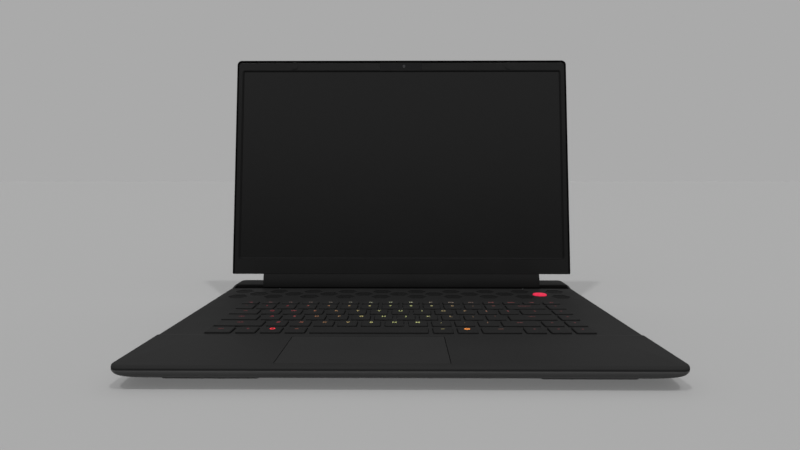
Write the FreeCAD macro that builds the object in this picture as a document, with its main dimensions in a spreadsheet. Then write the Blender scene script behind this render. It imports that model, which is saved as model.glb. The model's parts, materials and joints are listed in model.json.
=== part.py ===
import FreeCAD, Part
import math
import os
import Sketcher

# Laptop computer, lid open.  Millimetres, X to the right, Y to the back, Z up.
# The origin is on the table under the centre of the open laptop.

os.makedirs("parts", exist_ok=True)

doc = FreeCAD.newDocument("laptop_computer")
sheet = doc.addObject("Spreadsheet::Sheet", "dims")

DIMENSIONS = [
    # base outline
    ("base_half_width", 184.45),
    ("base_front", -149.0),
    ("base_rear", 141.0),
    ("corner_radius", 8.0),
    ("wall", 2.0),
    ("bottom_level", 1.6),
    ("floor_level", 3.0),
    ("seam_level", 13.5),
    ("palm_level", 16.0),
    ("deck_level", 15.3),
    ("deck_under", 13.9),
    # undercut of the bottom cover
    ("front_slope_top", 9.0),
    ("front_slope_end", -129.0),
    ("side_slope_top", 5.5),
    ("side_slope_end", 176.0),
    ("inner_front_low", -123.6),
    ("inner_front_mid", -132.8),
    ("inner_mid_level", 6.8),
    ("inner_high_level", 12.66),
    ("inner_side_low", 174.27),
    # deck
    ("palm_end", -79.0),
    ("deck_start", -74.0),
    ("deck_rear", 101.6),
    ("channel_level", 12.2),
    ("channel_under", 11.0),
    ("channel_rear", 116.0),
    ("front_round_depth", 4.25),
    ("front_round_drop", 1.7),
    # rear shelf
    ("shelf_level", 17.5),
    ("shelf_front", 112.55),
    ("shelf_recess", 114.55),
    ("shelf_recess_half", 152.5),
    ("shelf_inner_front", 116.05),
    ("shelf_under", 16.1),
    # hinge
    ("hinge_y", 107.15),
    ("hinge_z", 19.7),
    ("lid_lean", 8.93),
    ("pin_radius", 1.25),
    ("bracket_bore_radius", 1.3),
    ("ring_radius", 3.0),
    ("ring_inner_x", 128.0),
    ("ring_outer_x", 134.0),
    ("cover_radius", 5.6),
    ("cover_inner_radius", 4.3),
    ("cover_half_width", 150.5),
    # lid, measured up (w) from the hinge line and back (v) from it
    ("lid_half_width", 184.0),
    ("lid_low", 10.45),
    ("lid_high", 248.95),
    ("lid_front", -3.0),
    ("bezel_back", -2.2),
    ("lid_back", 3.3),
    ("lid_skin", 1.2),
    ("lid_rim", 1.6),
    ("lid_corner", 4.0),
    ("opening_half", 176.5),
    ("opening_low", 28.25),
    ("opening_high", 236.55),
    # keyboard
    ("key_pitch_x", 19.1),
    ("key_pitch_y", 19.5),
    ("key_gap", 3.8),
    ("key_left", -150.9),
    ("key_front", -72.4),
    ("key_depth", 15.7),
    ("function_depth", 8.7),
    ("key_top", 16.55),
    ("key_low", 13.2),
    ("key_clear", 0.35),
    ("key_wall", 1.0),
    ("key_corner", 1.5),
    ("plate_level", 10.2),
    ("membrane_level", 10.7),
    ("membrane_top", 11.0),
    ("dome_top", 12.0),
    # touchpad and power button
    ("pad_left", -80.5),
    ("pad_right", 33.0),
    ("pad_front", -142.1),
    ("pad_rear", -82.05),
    ("pad_clear", 0.35),
    ("pad_pivot_y", -87.0),
    ("pad_pivot_z", 13.6),
    ("pad_pin_radius", 0.8),
    ("button_x", 142.5),
    ("button_y", 70.5),
    ("button_radius", 7.0),
    ("button_top", 16.5),
    # hexagon vent field
    ("hex_radius", 8.0),
    ("hex_pitch", 36.0),
    ("hex_row_back", 85.85),
    ("hex_row_mid", 73.55),
    ("hex_row_front", 60.95),
    ("hex_depth", 0.3),
    # cooling
    ("fan_x", 112.0),
    ("fan_y", 68.0),
    ("fan_half", 42.0),
    ("fan_cavity", 38.0),
    ("fan_low", 3.4),
    ("fan_high", 10.0),
    ("fan_skin", 0.6),
    ("rotor_radius", 36.0),
    ("rotor_hub", 12.0),
    ("shaft_radius", 1.5),
    ("rotor_bore", 1.55),
    # board stack
    ("board_low", 7.8),
    ("board_high", 9.0),
    ("chip_low", 6.6),
    ("pipe_low", 3.3),
    ("pipe_high", 5.3),
]

for index, (name, value) in enumerate(DIMENSIONS):
    row = index + 1
    sheet.set("A%d" % row, name)
    sheet.set("B%d" % row, str(value))
    sheet.setAlias("B%d" % row, name)
doc.recompute()

PARTS = []


def amount(text):
    """Number behind an expression written with sheet names."""
    return float(sheet.evalExpression(str(text).replace("dims.", "")))


def bind(obj, prop, text):
    """Tie a property to an expression on the sheet."""
    obj.setExpression(prop, str(text))


def new_body(label):
    body = doc.addObject("PartDesign::Body", label)
    body.Label = label
    return body


def keep(obj, label):
    """Mark an object as a finished sub-part."""
    obj.Label = label
    PARTS.append(obj)
    return obj


def place_sketch(body, role, offset):
    """Empty sketch on one of the body's own origin planes, moved along its normal."""
    sketch = body.newObject("Sketcher::SketchObject", body.Name + "_sketch")
    planes = [item for item in body.Origin.OriginFeatures if item.Role == role]
    sketch.AttachmentSupport = (planes[0], [""])
    sketch.MapMode = "FlatFace"
    shift = FreeCAD.Vector(0, 0, amount(offset))
    sketch.AttachmentOffset = FreeCAD.Placement(shift, FreeCAD.Rotation())
    bind(sketch, "AttachmentOffset.Base.z", offset)
    return sketch


def pin_point(sketch, geometry, position, point):
    """Fix one sketch point at sheet-driven coordinates."""
    for kind, text in zip(("DistanceX", "DistanceY"), point):
        number = sketch.addConstraint(
            Sketcher.Constraint(kind, -1, 1, geometry, position, amount(text)))
        if "dims." in str(text):
            bind(sketch, "Constraints[%d]" % number, text)


def add_polygon(sketch, points):
    corners = [FreeCAD.Vector(amount(p[0]), amount(p[1]), 0) for p in points]
    count = len(corners)
    first = sketch.GeometryCount
    lines = []
    for k in range(count):
        lines.append(Part.LineSegment(corners[k], corners[(k + 1) % count]))
    sketch.addGeometry(lines, False)
    for k in range(count):
        after = first + (k + 1) % count
        sketch.addConstraint(Sketcher.Constraint("Coincident", first + k, 2, after, 1))
    for k in range(count):
        pin_point(sketch, first + k, 1, points[k])


def add_circle(sketch, centre, radius):
    middle = FreeCAD.Vector(amount(centre[0]), amount(centre[1]), 0)
    circle = Part.Circle(middle, FreeCAD.Vector(0, 0, 1), amount(radius))
    number = sketch.addGeometry(circle, False)
    pin_point(sketch, number, 3, centre)
    rule = sketch.addConstraint(Sketcher.Constraint("Radius", number, amount(radius)))
    if "dims." in str(radius):
        bind(sketch, "Constraints[%d]" % rule, radius)


def draw(sketch, shapes):
    """Shapes are ("poly", points) or ("circle", centre, radius)."""
    for shape in shapes:
        if shape[0] == "poly":
            add_polygon(sketch, shape[1])
        else:
            add_circle(sketch, shape[1], shape[2])


def box_points(x0, x1, y0, y1):
    return ("poly", [(x0, y0), (x1, y0), (x1, y1), (x0, y1)])


def cut_corner_points(half, y0, y1, bevel):
    """Rectangle about X = 0 with its two front corners cut off."""
    return ("poly", [
        ("-(%s) + %s" % (half, bevel), y0),
        ("%s - %s" % (half, bevel), y0),
        (half, "%s + %s" % (y0, bevel)),
        (half, y1),
        ("-(%s)" % half, y1),
        ("-(%s)" % half, "%s + %s" % (y0, bevel)),
    ])


ROLES = {"xy": "XY_Plane", "xz": "XZ_Plane", "yz": "YZ_Plane"}


def add(body, plane, shapes, low, high):
    """Solid between two levels along the axis across the plane."""
    # the XZ plane faces -Y, so its sketch sits at the far level
    offset = "-(%s)" % high if plane == "xz" else low
    sketch = place_sketch(body, ROLES[plane], offset)
    draw(sketch, shapes)
    feature = body.newObject("PartDesign::Pad", body.Name + "_pad")
    feature.Profile = sketch
    feature.Length = amount("(%s) - (%s)" % (high, low))
    bind(feature, "Length", "(%s) - (%s)" % (high, low))
    doc.recompute()
    return feature


def cut(body, plane, shapes, low, high):
    """Removes material between two levels along the axis across the plane."""
    before = body.Shape.Volume
    offset = "-(%s)" % low if plane == "xz" else high
    sketch = place_sketch(body, ROLES[plane], offset)
    draw(sketch, shapes)
    feature = body.newObject("PartDesign::Pocket", body.Name + "_pocket")
    feature.Profile = sketch
    feature.Length = amount("(%s) - (%s)" % (high, low))
    bind(feature, "Length", "(%s) - (%s)" % (high, low))
    doc.recompute()
    if body.Shape.Volume > before - 0.01:
        raise ValueError("a pocket of %s removed nothing" % body.Label)
    return feature


def edges_where(shape, test):
    names = []
    for number, edge in enumerate(shape.Edges):
        if test(edge):
            names.append("Edge%d" % (number + 1))
    return names


def along(edge, axis):
    """True for a straight edge parallel to the axis."""
    if edge.Curve.TypeId != "Part::GeomLine":
        return False
    direction = edge.tangentAt(edge.FirstParameter)
    return abs(abs(direction.dot(axis)) - 1.0) < 1e-6


X_AXIS = FreeCAD.Vector(1, 0, 0)
Y_AXIS = FreeCAD.Vector(0, 1, 0)
Z_AXIS = FreeCAD.Vector(0, 0, 1)


def dress(body, kind, size, test):
    """Fillet or chamfer on the tip's edges that pass the test."""
    names = edges_where(body.Tip.Shape, test)
    if not names:
        raise ValueError("no edge to dress on %s" % body.Label)
    base = body.Tip
    feature = body.newObject("PartDesign::" + kind, body.Name + "_" + kind.lower())
    feature.Base = (base, names)
    if kind == "Fillet":
        feature.Radius = amount(size)
        bind(feature, "Radius", size)
    else:
        feature.Size = amount(size)
        bind(feature, "Size", size)
    doc.recompute()
    return feature


def make_box(name, x0, x1, y0, y1, z0, z1):
    """Part::Box bound to expressions."""
    box = doc.addObject("Part::Box", name)
    box.Placement.Base = FreeCAD.Vector(amount(x0), amount(y0), amount(z0))
    bind(box, "Length", "(%s) - (%s)" % (x1, x0))
    bind(box, "Width", "(%s) - (%s)" % (y1, y0))
    bind(box, "Height", "(%s) - (%s)" % (z1, z0))
    bind(box, "Placement.Base.x", x0)
    bind(box, "Placement.Base.y", y0)
    bind(box, "Placement.Base.z", z0)
    return box


def make_rod(name, x, y, z0, z1, radius):
    """Upright Part::Cylinder bound to expressions."""
    rod = doc.addObject("Part::Cylinder", name)
    rod.Placement.Base = FreeCAD.Vector(amount(x), amount(y), amount(z0))
    bind(rod, "Radius", radius)
    bind(rod, "Height", "(%s) - (%s)" % (z1, z0))
    bind(rod, "Placement.Base.x", x)
    bind(rod, "Placement.Base.y", y)
    bind(rod, "Placement.Base.z", z0)
    return rod


def join(name, pieces):
    fuse = doc.addObject("Part::MultiFuse", name)
    fuse.Shapes = pieces
    doc.recompute()
    return fuse


def subtract(name, base, tools):
    tool = tools[0] if len(tools) == 1 else join(name + "_tools", tools)
    result = doc.addObject("Part::Cut", name)
    result.Base = base
    result.Tool = tool
    doc.recompute()
    return result


def group(name, pieces):
    compound = doc.addObject("Part::Compound", name)
    compound.Links = pieces
    doc.recompute()
    return compound


def bevel_box(label, x0, x1, y0, y1, z0, z1, size):
    """Simple block with chamfered edges, as a body."""
    body = new_body(label)
    add(body, "xy", [box_points(x0, x1, y0, y1)], z0, z1)
    dress(body, "Chamfer", size, lambda edge: True)
    return keep(body, label)


# ---------------------------------------------------------------- keyboard grid
KEY_ROWS = 6
KEYS = [
    ("key_escape", [(5, 0, 1)]),
    ("keys_function_row", [(5, c, 1) for c in range(1, 16)]),
    ("keys_number_row", [(4, c, 1) for c in range(13)]),
    ("key_backspace", [(4, 13, 2)]),
    ("keys_media_column", [(r, 15, 1) for r in (4, 3, 2, 1)]),
    ("keys_upper_row", [(3, 0, 1.5)] + [(3, 1.5 + c, 1) for c in range(12)] + [(3, 13.5, 1.5)]),
    ("keys_home_row", [(2, 0, 1.75)] + [(2, 1.75 + c, 1) for c in range(11)]),
    ("key_enter", [(2, 12.75, 2.25)]),
    ("key_shift_left", [(1, 0, 2.25)]),
    ("keys_lower_row", [(1, 2.25 + c, 1) for c in range(10)]),
    ("key_shift_right", [(1, 12.25, 1.75)]),
    ("keys_modifier_row", [(0, 0, 1.25), (0, 1.25, 1), (0, 2.25, 1), (0, 3.25, 1),
                           (0, 9.25, 1), (0, 10.25, 1), (0, 11.25, 1.75)]),
    ("key_space", [(0, 4.25, 5)]),
    ("key_arrow_up", [(1, 14, 1)]),
    ("key_arrow_left", [(0, 13, 1)]),
    ("key_arrow_down", [(0, 14, 1)]),
    ("key_arrow_right", [(0, 15, 1)]),
]


def key_rect(row, column, units, grow):
    """Outline of one key, grown outwards by the given amount."""
    x0 = "dims.key_left + %s * dims.key_pitch_x - (%s)" % (column, grow)
    x1 = "dims.key_left + %s * dims.key_pitch_x - dims.key_gap + (%s)" % (column + units, grow)
    y0 = "dims.key_front + %s * dims.key_pitch_y - (%s)" % (row, grow)
    depth = "dims.function_depth" if row == KEY_ROWS - 1 else "dims.key_depth"
    y1 = "dims.key_front + %s * dims.key_pitch_y + %s + (%s)" % (row, depth, grow)
    return box_points(x0, x1, y0, y1)


def key_centre(row, column, units):
    x = "dims.key_left + %s * dims.key_pitch_x - dims.key_gap / 2" % (column + units / 2.0)
    depth = "dims.function_depth" if row == KEY_ROWS - 1 else "dims.key_depth"
    y = "dims.key_front + %s * dims.key_pitch_y + %s / 2" % (row, depth)
    return (x, y)


# ---------------------------------------------------------------- bottom cover
POSTS = [(-86, -118), (44, -118), (86, -118), (-160, -62), (160, -62),
         (-166, 32), (166, 32), (-166, 104), (166, 104)]
BRACKET_POSTS = [(-160, 126), (-172, 126), (160, 126), (172, 126)]
STANDOFFS = [(-140, -50), (140, -50), (-140, 16), (140, 16), (-52, 100), (52, 100)]

cover = new_body("bottom_cover")
add(cover, "xy", [box_points("-dims.base_half_width", "dims.base_half_width",
                             "dims.base_front", "dims.base_rear")],
    "dims.bottom_level", "dims.seam_level")
dress(cover, "Fillet", "dims.corner_radius", lambda edge: along(edge, Z_AXIS))
cut(cover, "yz", [("poly", [
    ("dims.base_front", "dims.front_slope_top"),
    ("dims.front_slope_end", "dims.bottom_level"),
    ("dims.front_slope_end", "dims.bottom_level - 1"),
    ("dims.base_front - 3", "dims.bottom_level - 1"),
    ("dims.base_front - 3", "dims.front_slope_top"),
])], "-dims.base_half_width - 1", "dims.base_half_width + 1")
side_cut = []
for side in ("", "-"):
    side_cut.append(("poly", [
        (side + "(dims.base_half_width)", "dims.side_slope_top"),
        (side + "(dims.side_slope_end)", "dims.bottom_level"),
        (side + "(dims.side_slope_end)", "dims.bottom_level - 1"),
        (side + "(dims.base_half_width + 3)", "dims.bottom_level - 1"),
        (side + "(dims.base_half_width + 3)", "dims.side_slope_top"),
    ]))
cut(cover, "xz", side_cut, "dims.base_front - 2", "dims.base_rear + 2")


def loft_out(body, low_shape, low, high_shape, high):
    """Removes the tapered space between two outlines."""
    before = body.Shape.Volume
    low_sketch = place_sketch(body, "XY_Plane", low)
    draw(low_sketch, [low_shape])
    high_sketch = place_sketch(body, "XY_Plane", high)
    draw(high_sketch, [high_shape])
    feature = body.newObject("PartDesign::SubtractiveLoft", body.Name + "_loft")
    feature.Profile = low_sketch
    feature.Sections = [high_sketch]
    feature.Ruled = True
    doc.recompute()
    if body.Shape.Volume > before - 0.01:
        raise ValueError("a loft of %s removed nothing" % body.Label)


inner_half = "dims.base_half_width - dims.wall"
inner_front = "dims.base_front + dims.wall"
inner_rear = "dims.base_rear - dims.wall"
loft_out(cover,
         cut_corner_points("dims.inner_side_low", "dims.inner_front_low", inner_rear, "8"),
         "dims.floor_level",
         cut_corner_points(inner_half, "dims.inner_front_mid", inner_rear, "8"),
         "dims.inner_mid_level")
loft_out(cover,
         cut_corner_points(inner_half, "dims.inner_front_mid", inner_rear, "8"),
         "dims.inner_mid_level",
         cut_corner_points(inner_half, inner_front, inner_rear, "10"),
         "dims.inner_high_level")
cut(cover, "xy", [cut_corner_points(inner_half, inner_front, inner_rear, "10")],
    "dims.inner_high_level", "dims.seam_level")
# the rear corners of the cavity stay inside the round outer corners
add(cover, "xy", [
    ("poly", [(side + "(dims.base_half_width - 1.5)", "dims.base_rear - 12"),
              (side + "(dims.base_half_width - 1.5)", "dims.base_rear - 5.2"),
              (side + "(dims.base_half_width - 5.2)", "dims.base_rear - 1.5"),
              (side + "(dims.base_half_width - 12)", "dims.base_rear - 1.5")])
    for side in ("", "-")],
    "dims.floor_level", "dims.seam_level")

# screw posts, bracket bosses and board standoffs
add(cover, "xy", [("circle", point, "4.5") for point in POSTS[:7]],
    "dims.floor_level - 0.4", "dims.deck_under")
add(cover, "xy", [("circle", point, "4.5") for point in POSTS[7:]],
    "dims.floor_level - 0.4", "dims.channel_under")
add(cover, "xy", [("circle", point, "3.5") for point in BRACKET_POSTS],
    "dims.floor_level - 0.4", "dims.channel_level + 0.4")
add(cover, "xy", [("circle", point, "2.5") for point in STANDOFFS],
    "dims.floor_level - 0.4", "dims.board_low")
cut(cover, "xy", [("circle", point, "3.1") for point in POSTS],
    "dims.bottom_level", "4.9")
cut(cover, "xy", [("circle", point, "1.15") for point in POSTS], "4.9", "10.8")

# exhaust slots in the rear wall
slots = []
for side in (-1, 1):
    for k in range(16):
        x = side * (76 + 4.6 * k)
        slots.append(box_points(x - 1.6, x + 1.6, 4.6, 11.0))
cut(cover, "xz", slots, inner_rear, "dims.base_rear")

# air intake slots under the fans
slots = []
for side in (-1, 1):
    for k in range(9):
        for part in (-1, 1):
            x = side * 112 + part * 13
            y = 68 + 6.2 * (k - 4)
            slots.append(box_points(x - 11, x + 11, y - 1.4, y + 1.4))
cut(cover, "xy", slots, "dims.bottom_level", "dims.floor_level")

# rear, left and right sockets: outline of each, seen from outside
REAR_PORTS = {"power": (50, 6.0, 9.2, 3.4), "video": (24, 7.6, 9.2, 2.9),
              "small_a": (-4, 4.6, 9.2, 1.8), "small_b": (-24, 4.6, 9.2, 1.8)}
port_fit = 0.15
cut(cover, "xz", [box_points(x - w - port_fit, x + w + port_fit,
                             z - t - port_fit, z + t + port_fit)
                  for x, w, z, t in REAR_PORTS.values()],
    inner_rear, "dims.base_rear")
SIDE_PORTS = {"network": (-1, 6, 8.0, 9.4, 3.5), "audio": (-1, -32, 3.5, 9.4, 3.0),
              "large_a": (1, -8, 6.8, 9.6, 2.9), "large_b": (1, -34, 6.8, 9.6, 2.9)}
for side, y, w, z, t in SIDE_PORTS.values():
    hole = box_points(y - w - port_fit, y + w + port_fit, z - t - port_fit, z + t + port_fit)
    if side > 0:
        cut(cover, "yz", [hole], "dims.base_half_width - 5", "dims.base_half_width")
    else:
        cut(cover, "yz", [hole], "-dims.base_half_width", "-dims.base_half_width + 5")
keep(cover, "bottom_cover")

# ---------------------------------------------------------------- top case
case = new_body("top_case")
add(case, "xy", [box_points("-dims.base_half_width", "dims.base_half_width",
                            "dims.base_front", "dims.deck_rear")],
    "dims.seam_level", "dims.palm_level")
dress(case, "Fillet", "dims.corner_radius",
      lambda edge: along(edge, Z_AXIS) and edge.CenterOfMass.y < 0)
# the keyboard deck lies a little lower than the palm rest
cut(case, "yz", [("poly", [
    ("dims.palm_end", "dims.palm_level"),
    ("dims.deck_start", "dims.deck_level"),
    ("dims.deck_rear + 1", "dims.deck_level"),
    ("dims.deck_rear + 1", "dims.palm_level + 1"),
    ("dims.palm_end", "dims.palm_level + 1"),
])], "-dims.base_half_width - 1", "dims.base_half_width + 1")
# front edge rounded in three flats
cut(case, "yz", [("poly", [
    ("dims.base_front", "dims.palm_level - dims.front_round_drop"),
    ("dims.base_front + 0.9", "dims.palm_level - 0.85"),
    ("dims.base_front + 2.3", "dims.palm_level - 0.25"),
    ("dims.base_front + dims.front_round_depth", "dims.palm_level"),
    ("dims.base_front + dims.front_round_depth", "dims.palm_level + 1"),
    ("dims.base_front - 1", "dims.palm_level + 1"),
    ("dims.base_front - 1", "dims.palm_level - dims.front_round_drop"),
])], "-dims.base_half_width - 1", "dims.base_half_width + 1")
dress(case, "Fillet", "1.5",
      lambda edge: along(edge, X_AXIS) and abs(edge.CenterOfMass.y - amount("dims.deck_rear")) < 0.01
      and abs(edge.CenterOfMass.z - amount("dims.deck_level")) < 0.01)
cut(case, "xy", [cut_corner_points(inner_half, inner_front, "dims.deck_rear - dims.wall", "10")],
    "dims.seam_level", "dims.deck_under")
# floor of the hinge channel
add(case, "yz", [("poly", [
    ("dims.deck_rear - dims.wall", "dims.channel_under"),
    ("dims.channel_rear", "dims.channel_under"),
    ("dims.channel_rear", "dims.channel_level"),
    ("dims.deck_rear", "dims.channel_level"),
    ("dims.deck_rear", "dims.seam_level + 0.1"),
    ("dims.deck_rear - dims.wall", "dims.seam_level + 0.1"),
])], "-(%s) + 0.35" % inner_half, "%s - 0.35" % inner_half)
# key openings, one pocket for each row
for row in range(KEY_ROWS):
    holes = []
    for node, places in KEYS:
        for place in places:
            if place[0] == row:
                holes.append(key_rect(place[0], place[1], place[2], "dims.key_clear"))
    cut(case, "xy", holes, "dims.deck_under", "dims.deck_level")
# stakes that carry the keyboard plate, standing between the rows
stakes = []
for row in (1, 3, 5):
    for x in (-110, -36, 36, 110):
        stakes.append(("circle", (x, "dims.key_front + %d * dims.key_pitch_y - 1.9" % row), "1.2"))
add(case, "xy", stakes, "dims.membrane_top", "dims.deck_under + 0.4")
cut(case, "xy", [box_points("dims.pad_left - dims.pad_clear", "dims.pad_right + dims.pad_clear",
                            "dims.pad_front - dims.pad_clear", "dims.pad_rear + dims.pad_clear")],
    "dims.deck_under", "dims.palm_level")
cut(case, "xy", [("circle", ("dims.button_x", "dims.button_y"), "dims.button_radius + 0.35")],
    "dims.deck_under", "dims.deck_level")
# two open seats under the rear edge of the touchpad, in which its pin turns
PAD_SEATS = [("dims.pad_left + 2", "dims.pad_left + 5.5"), ("dims.pad_right - 5.5", "dims.pad_right - 2")]
for near, far in PAD_SEATS:
    add(case, "yz", [("poly", [
        ("dims.pad_pivot_y - 1.6", "dims.pad_pivot_z - 1.7"),
        ("dims.pad_rear + 1.65", "dims.pad_pivot_z - 1.7"),
        ("dims.pad_rear + 1.65", "dims.deck_under + 0.1"),
        ("dims.pad_rear + 0.45", "dims.deck_under + 0.1"),
        ("dims.pad_rear + 0.45", "dims.pad_pivot_z - 0.05"),
        ("dims.pad_pivot_y - 1.6", "dims.pad_pivot_z - 0.05"),
    ])], near, far)
    cut(case, "yz", [("circle", ("dims.pad_pivot_y", "dims.pad_pivot_z"),
                      "dims.pad_pin_radius + 0.05")], near, far)


def hexagon(x, y, radius):
    points = []
    for k in range(6):
        angle = math.radians(60 * k)
        points.append(("%s + %.6f * (%s)" % (x, math.cos(angle), radius),
                       "%s + %.6f * (%s)" % (y, math.sin(angle), radius)))
    return ("poly", points)


hexagons = []
for k in range(-5, 5):
    for row in ("dims.hex_row_back", "dims.hex_row_front"):
        hexagons.append(hexagon("dims.hex_pitch * %s" % (k + 0.5), row, "dims.hex_radius"))
for k in range(-4, 4):
    hexagons.append(hexagon("dims.hex_pitch * %d" % k, "dims.hex_row_mid", "dims.hex_radius"))
# neighbouring rows are cut apart so that each pocket stays a set of clean outlines
cut(case, "xy", hexagons[0:20:2], "dims.deck_level - dims.hex_depth", "dims.deck_level")
cut(case, "xy", hexagons[1:20:2], "dims.deck_level - dims.hex_depth", "dims.deck_level")
cut(case, "xy", hexagons[20:], "dims.deck_level - dims.hex_depth", "dims.deck_level")
keep(case, "top_case")

# ---------------------------------------------------------------- rear shelf
shelf = new_body("rear_shelf")
add(shelf, "xy", [box_points("-dims.base_half_width", "dims.base_half_width",
                             "dims.shelf_front", "dims.base_rear")],
    "dims.seam_level", "dims.shelf_level")
dress(shelf, "Fillet", "dims.corner_radius",
      lambda edge: along(edge, Z_AXIS) and edge.CenterOfMass.y > amount("dims.base_rear") - 1)
dress(shelf, "Chamfer", "1.2",
      lambda edge: edge.CenterOfMass.z > amount("dims.shelf_level") - 0.01)
add(shelf, "xy", [box_points("-(%s) + 0.35" % inner_half, "%s - 0.35" % inner_half,
                             "dims.shelf_front", "dims.shelf_inner_front")],
    "dims.channel_level", "dims.seam_level + 0.1")
cut(shelf, "xy", [("poly", [
    ("-(%s)" % inner_half, "dims.shelf_inner_front"),
    (inner_half, "dims.shelf_inner_front"),
    (inner_half, "dims.base_rear - 12"),
    ("dims.base_half_width - 12", inner_rear),
    ("-(dims.base_half_width - 12)", inner_rear),
    ("-(%s)" % inner_half, "dims.base_rear - 12"),
])], "dims.seam_level - 1", "dims.shelf_under")
cut(shelf, "xy", [box_points("-dims.shelf_recess_half", "dims.shelf_recess_half",
                             "dims.shelf_front - 1", "dims.shelf_recess")],
    "dims.channel_level - 1", "dims.shelf_level + 1")
cut(shelf, "xy", [box_points(side + "(126)", side + "(136)", "dims.shelf_recess - 1", "118.5")
                  for side in ("", "-")],
    "dims.channel_level - 1", "dims.shelf_level + 1")
keep(shelf, "rear_shelf")

# ---------------------------------------------------------------- keyboard
key_bodies = []
for node, places in KEYS:
    body = new_body(node)
    add(body, "xy", [key_rect(p[0], p[1], p[2], "0") for p in places],
        "dims.key_low", "dims.key_top")
    dress(body, "Fillet", "dims.key_corner", lambda edge: along(edge, Z_AXIS))
    dress(body, "Chamfer", "0.3",
          lambda edge: edge.CenterOfMass.z > amount("dims.key_top") - 0.01)
    cut(body, "xy", [key_rect(p[0], p[1], p[2], "-dims.key_wall - 0.4") for p in places],
        "dims.key_low", "dims.key_top - dims.key_wall")
    add(body, "xy", [("circle", key_centre(p[0], p[1], p[2]), "1.6") for p in places],
        "dims.key_low + 0.5", "dims.key_top - dims.key_wall / 2")
    keep(body, node)

plate = make_box("keyboard_plate", "dims.key_left - 1.2", "-dims.key_left + 1.2",
                 "dims.key_front - 1.2", "36.0", "dims.plate_level", "dims.membrane_level")
keep(plate, "keyboard_plate")

membrane = new_body("key_membrane")
add(membrane, "xy", [box_points("dims.key_left - 0.6", "-dims.key_left + 0.6",
                                "dims.key_front - 0.6", "35.0")],
    "dims.membrane_level", "dims.membrane_top")
for row in range(KEY_ROWS):
    domes = []
    for node, places in KEYS:
        for place in places:
            if place[0] == row:
                domes.append(("circle", key_centre(place[0], place[1], place[2]), "2.6"))
    add(membrane, "xy", domes, "dims.membrane_level", "dims.dome_top")
keep(membrane, "key_membrane")

# ---------------------------------------------------------------- touchpad and button
pad = new_body("touchpad")
add(pad, "xy", [box_points("dims.pad_left", "dims.pad_right", "dims.pad_front", "dims.pad_rear")],
    "14.6", "dims.palm_level - 0.05")
dress(pad, "Chamfer", "0.2",
      lambda edge: edge.CenterOfMass.z > amount("dims.palm_level - 0.06"))
add(pad, "xy", [box_points("dims.pad_left + 6", "dims.pad_right - 6",
                           "dims.pad_front + 6", "dims.pad_rear - 4")], "13.2", "14.7")
add(pad, "yz", [("circle", ("dims.pad_pivot_y", "dims.pad_pivot_z"), "dims.pad_pin_radius")],
    "dims.pad_left + 1.5", "dims.pad_right - 1.5")
keep(pad, "touchpad")

button = new_body("power_button")
add(button, "xy", [("circle", ("dims.button_x", "dims.button_y"), "dims.button_radius")],
    "13.4", "dims.button_top")
dress(button, "Fillet", "1.0",
      lambda edge: edge.CenterOfMass.z > amount("dims.button_top") - 0.01)
add(button, "xy", [("circle", ("dims.button_x", "dims.button_y"), "dims.button_radius + 1.2")],
    "13.0", "13.6")
keep(button, "power_button")

# ---------------------------------------------------------------- feet and screws
feet = []
for side in ("", "-"):
    for y0, y1 in ((-127.0, -118.0), (120.0, 130.0)):
        ends = [side + "(94)", side + "(161)"]
        if side == "-":
            ends.reverse()
        feet.append(box_points(ends[0], ends[1], y0, y1))
body = new_body("rubber_feet")
add(body, "xy", feet, "0", "dims.bottom_level")
dress(body, "Fillet", "3.0", lambda edge: along(edge, Z_AXIS))
dress(body, "Chamfer", "0.4", lambda edge: edge.CenterOfMass.z < 0.01)
keep(body, "rubber_feet")

body = new_body("bottom_screws")
add(body, "xy", [("circle", point, "2.6") for point in POSTS], "3.2", "4.9")
add(body, "xy", [("circle", point, "1.05") for point in POSTS], "4.8", "10.2")
cut(body, "xy", [("circle", point, "1.0") for point in POSTS], "3.2", "4.2")
keep(body, "bottom_screws")

# ---------------------------------------------------------------- board and chips
board = new_body("motherboard")
add(board, "xy", [("poly", [(-150, -60), (150, -60), (150, 22), (60, 22), (60, 126),
                            (-60, 126), (-60, 22), (-150, 22)])],
    "dims.board_low", "dims.board_high")
dress(board, "Fillet", "2.0", lambda edge: along(edge, Z_AXIS))
keep(board, "motherboard")


def chip(label, x0, x1, y0, y1):
    """Package with a raised die facing down."""
    outer = make_box(label + "_package", x0, x1, y0, y1, "dims.chip_low + 0.5", "dims.board_low")
    die = make_box(label + "_die", x0 + 9, x1 - 9, y0 + 8, y1 - 8,
                   "dims.chip_low", "dims.chip_low + 0.5")
    return keep(join(label, [outer, die]), label)


chip("processor", -52, -17, 2, 34)
chip("graphics_chip", 17, 52, 0, 34)


def module(label, x0, x1, y0, y1, low, packages):
    """Thin card with memory packages on its lower side."""
    card = make_box(label + "_card", x0, x1, y0, y1, low + 1.2, low + 2.2)
    socket = make_box(label + "_socket", x0, x1, y1 - 5, y1, low + 2.2, "dims.board_low")
    pieces = [card, socket]
    for k, (a, b) in enumerate(packages):
        pieces.append(make_box("%s_chip%d" % (label, k), a, b, y0 + 4, y1 - 7, low, low + 1.2))
    return join(label, pieces)


memory = [
    module("memory_left", -74, -4.4, -56, -26, 3.8, [(-70, -56), (-53, -40), (-37, -24), (-21, -8)]),
    module("memory_right", 4.4, 74, -56, -26, 3.8, [(8, 21), (24, 37), (40, 53), (56, 70)]),
]
keep(group("memory_modules", memory), "memory_modules")
keep(module("solid_state_drive", 60, 140, -20, 2, 4.6, [(66, 84), (88, 106), (110, 124)]),
     "solid_state_drive")
keep(module("wireless_card", -124, -94, -20, 2, 4.6, [(-120, -100)]), "wireless_card")

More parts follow.
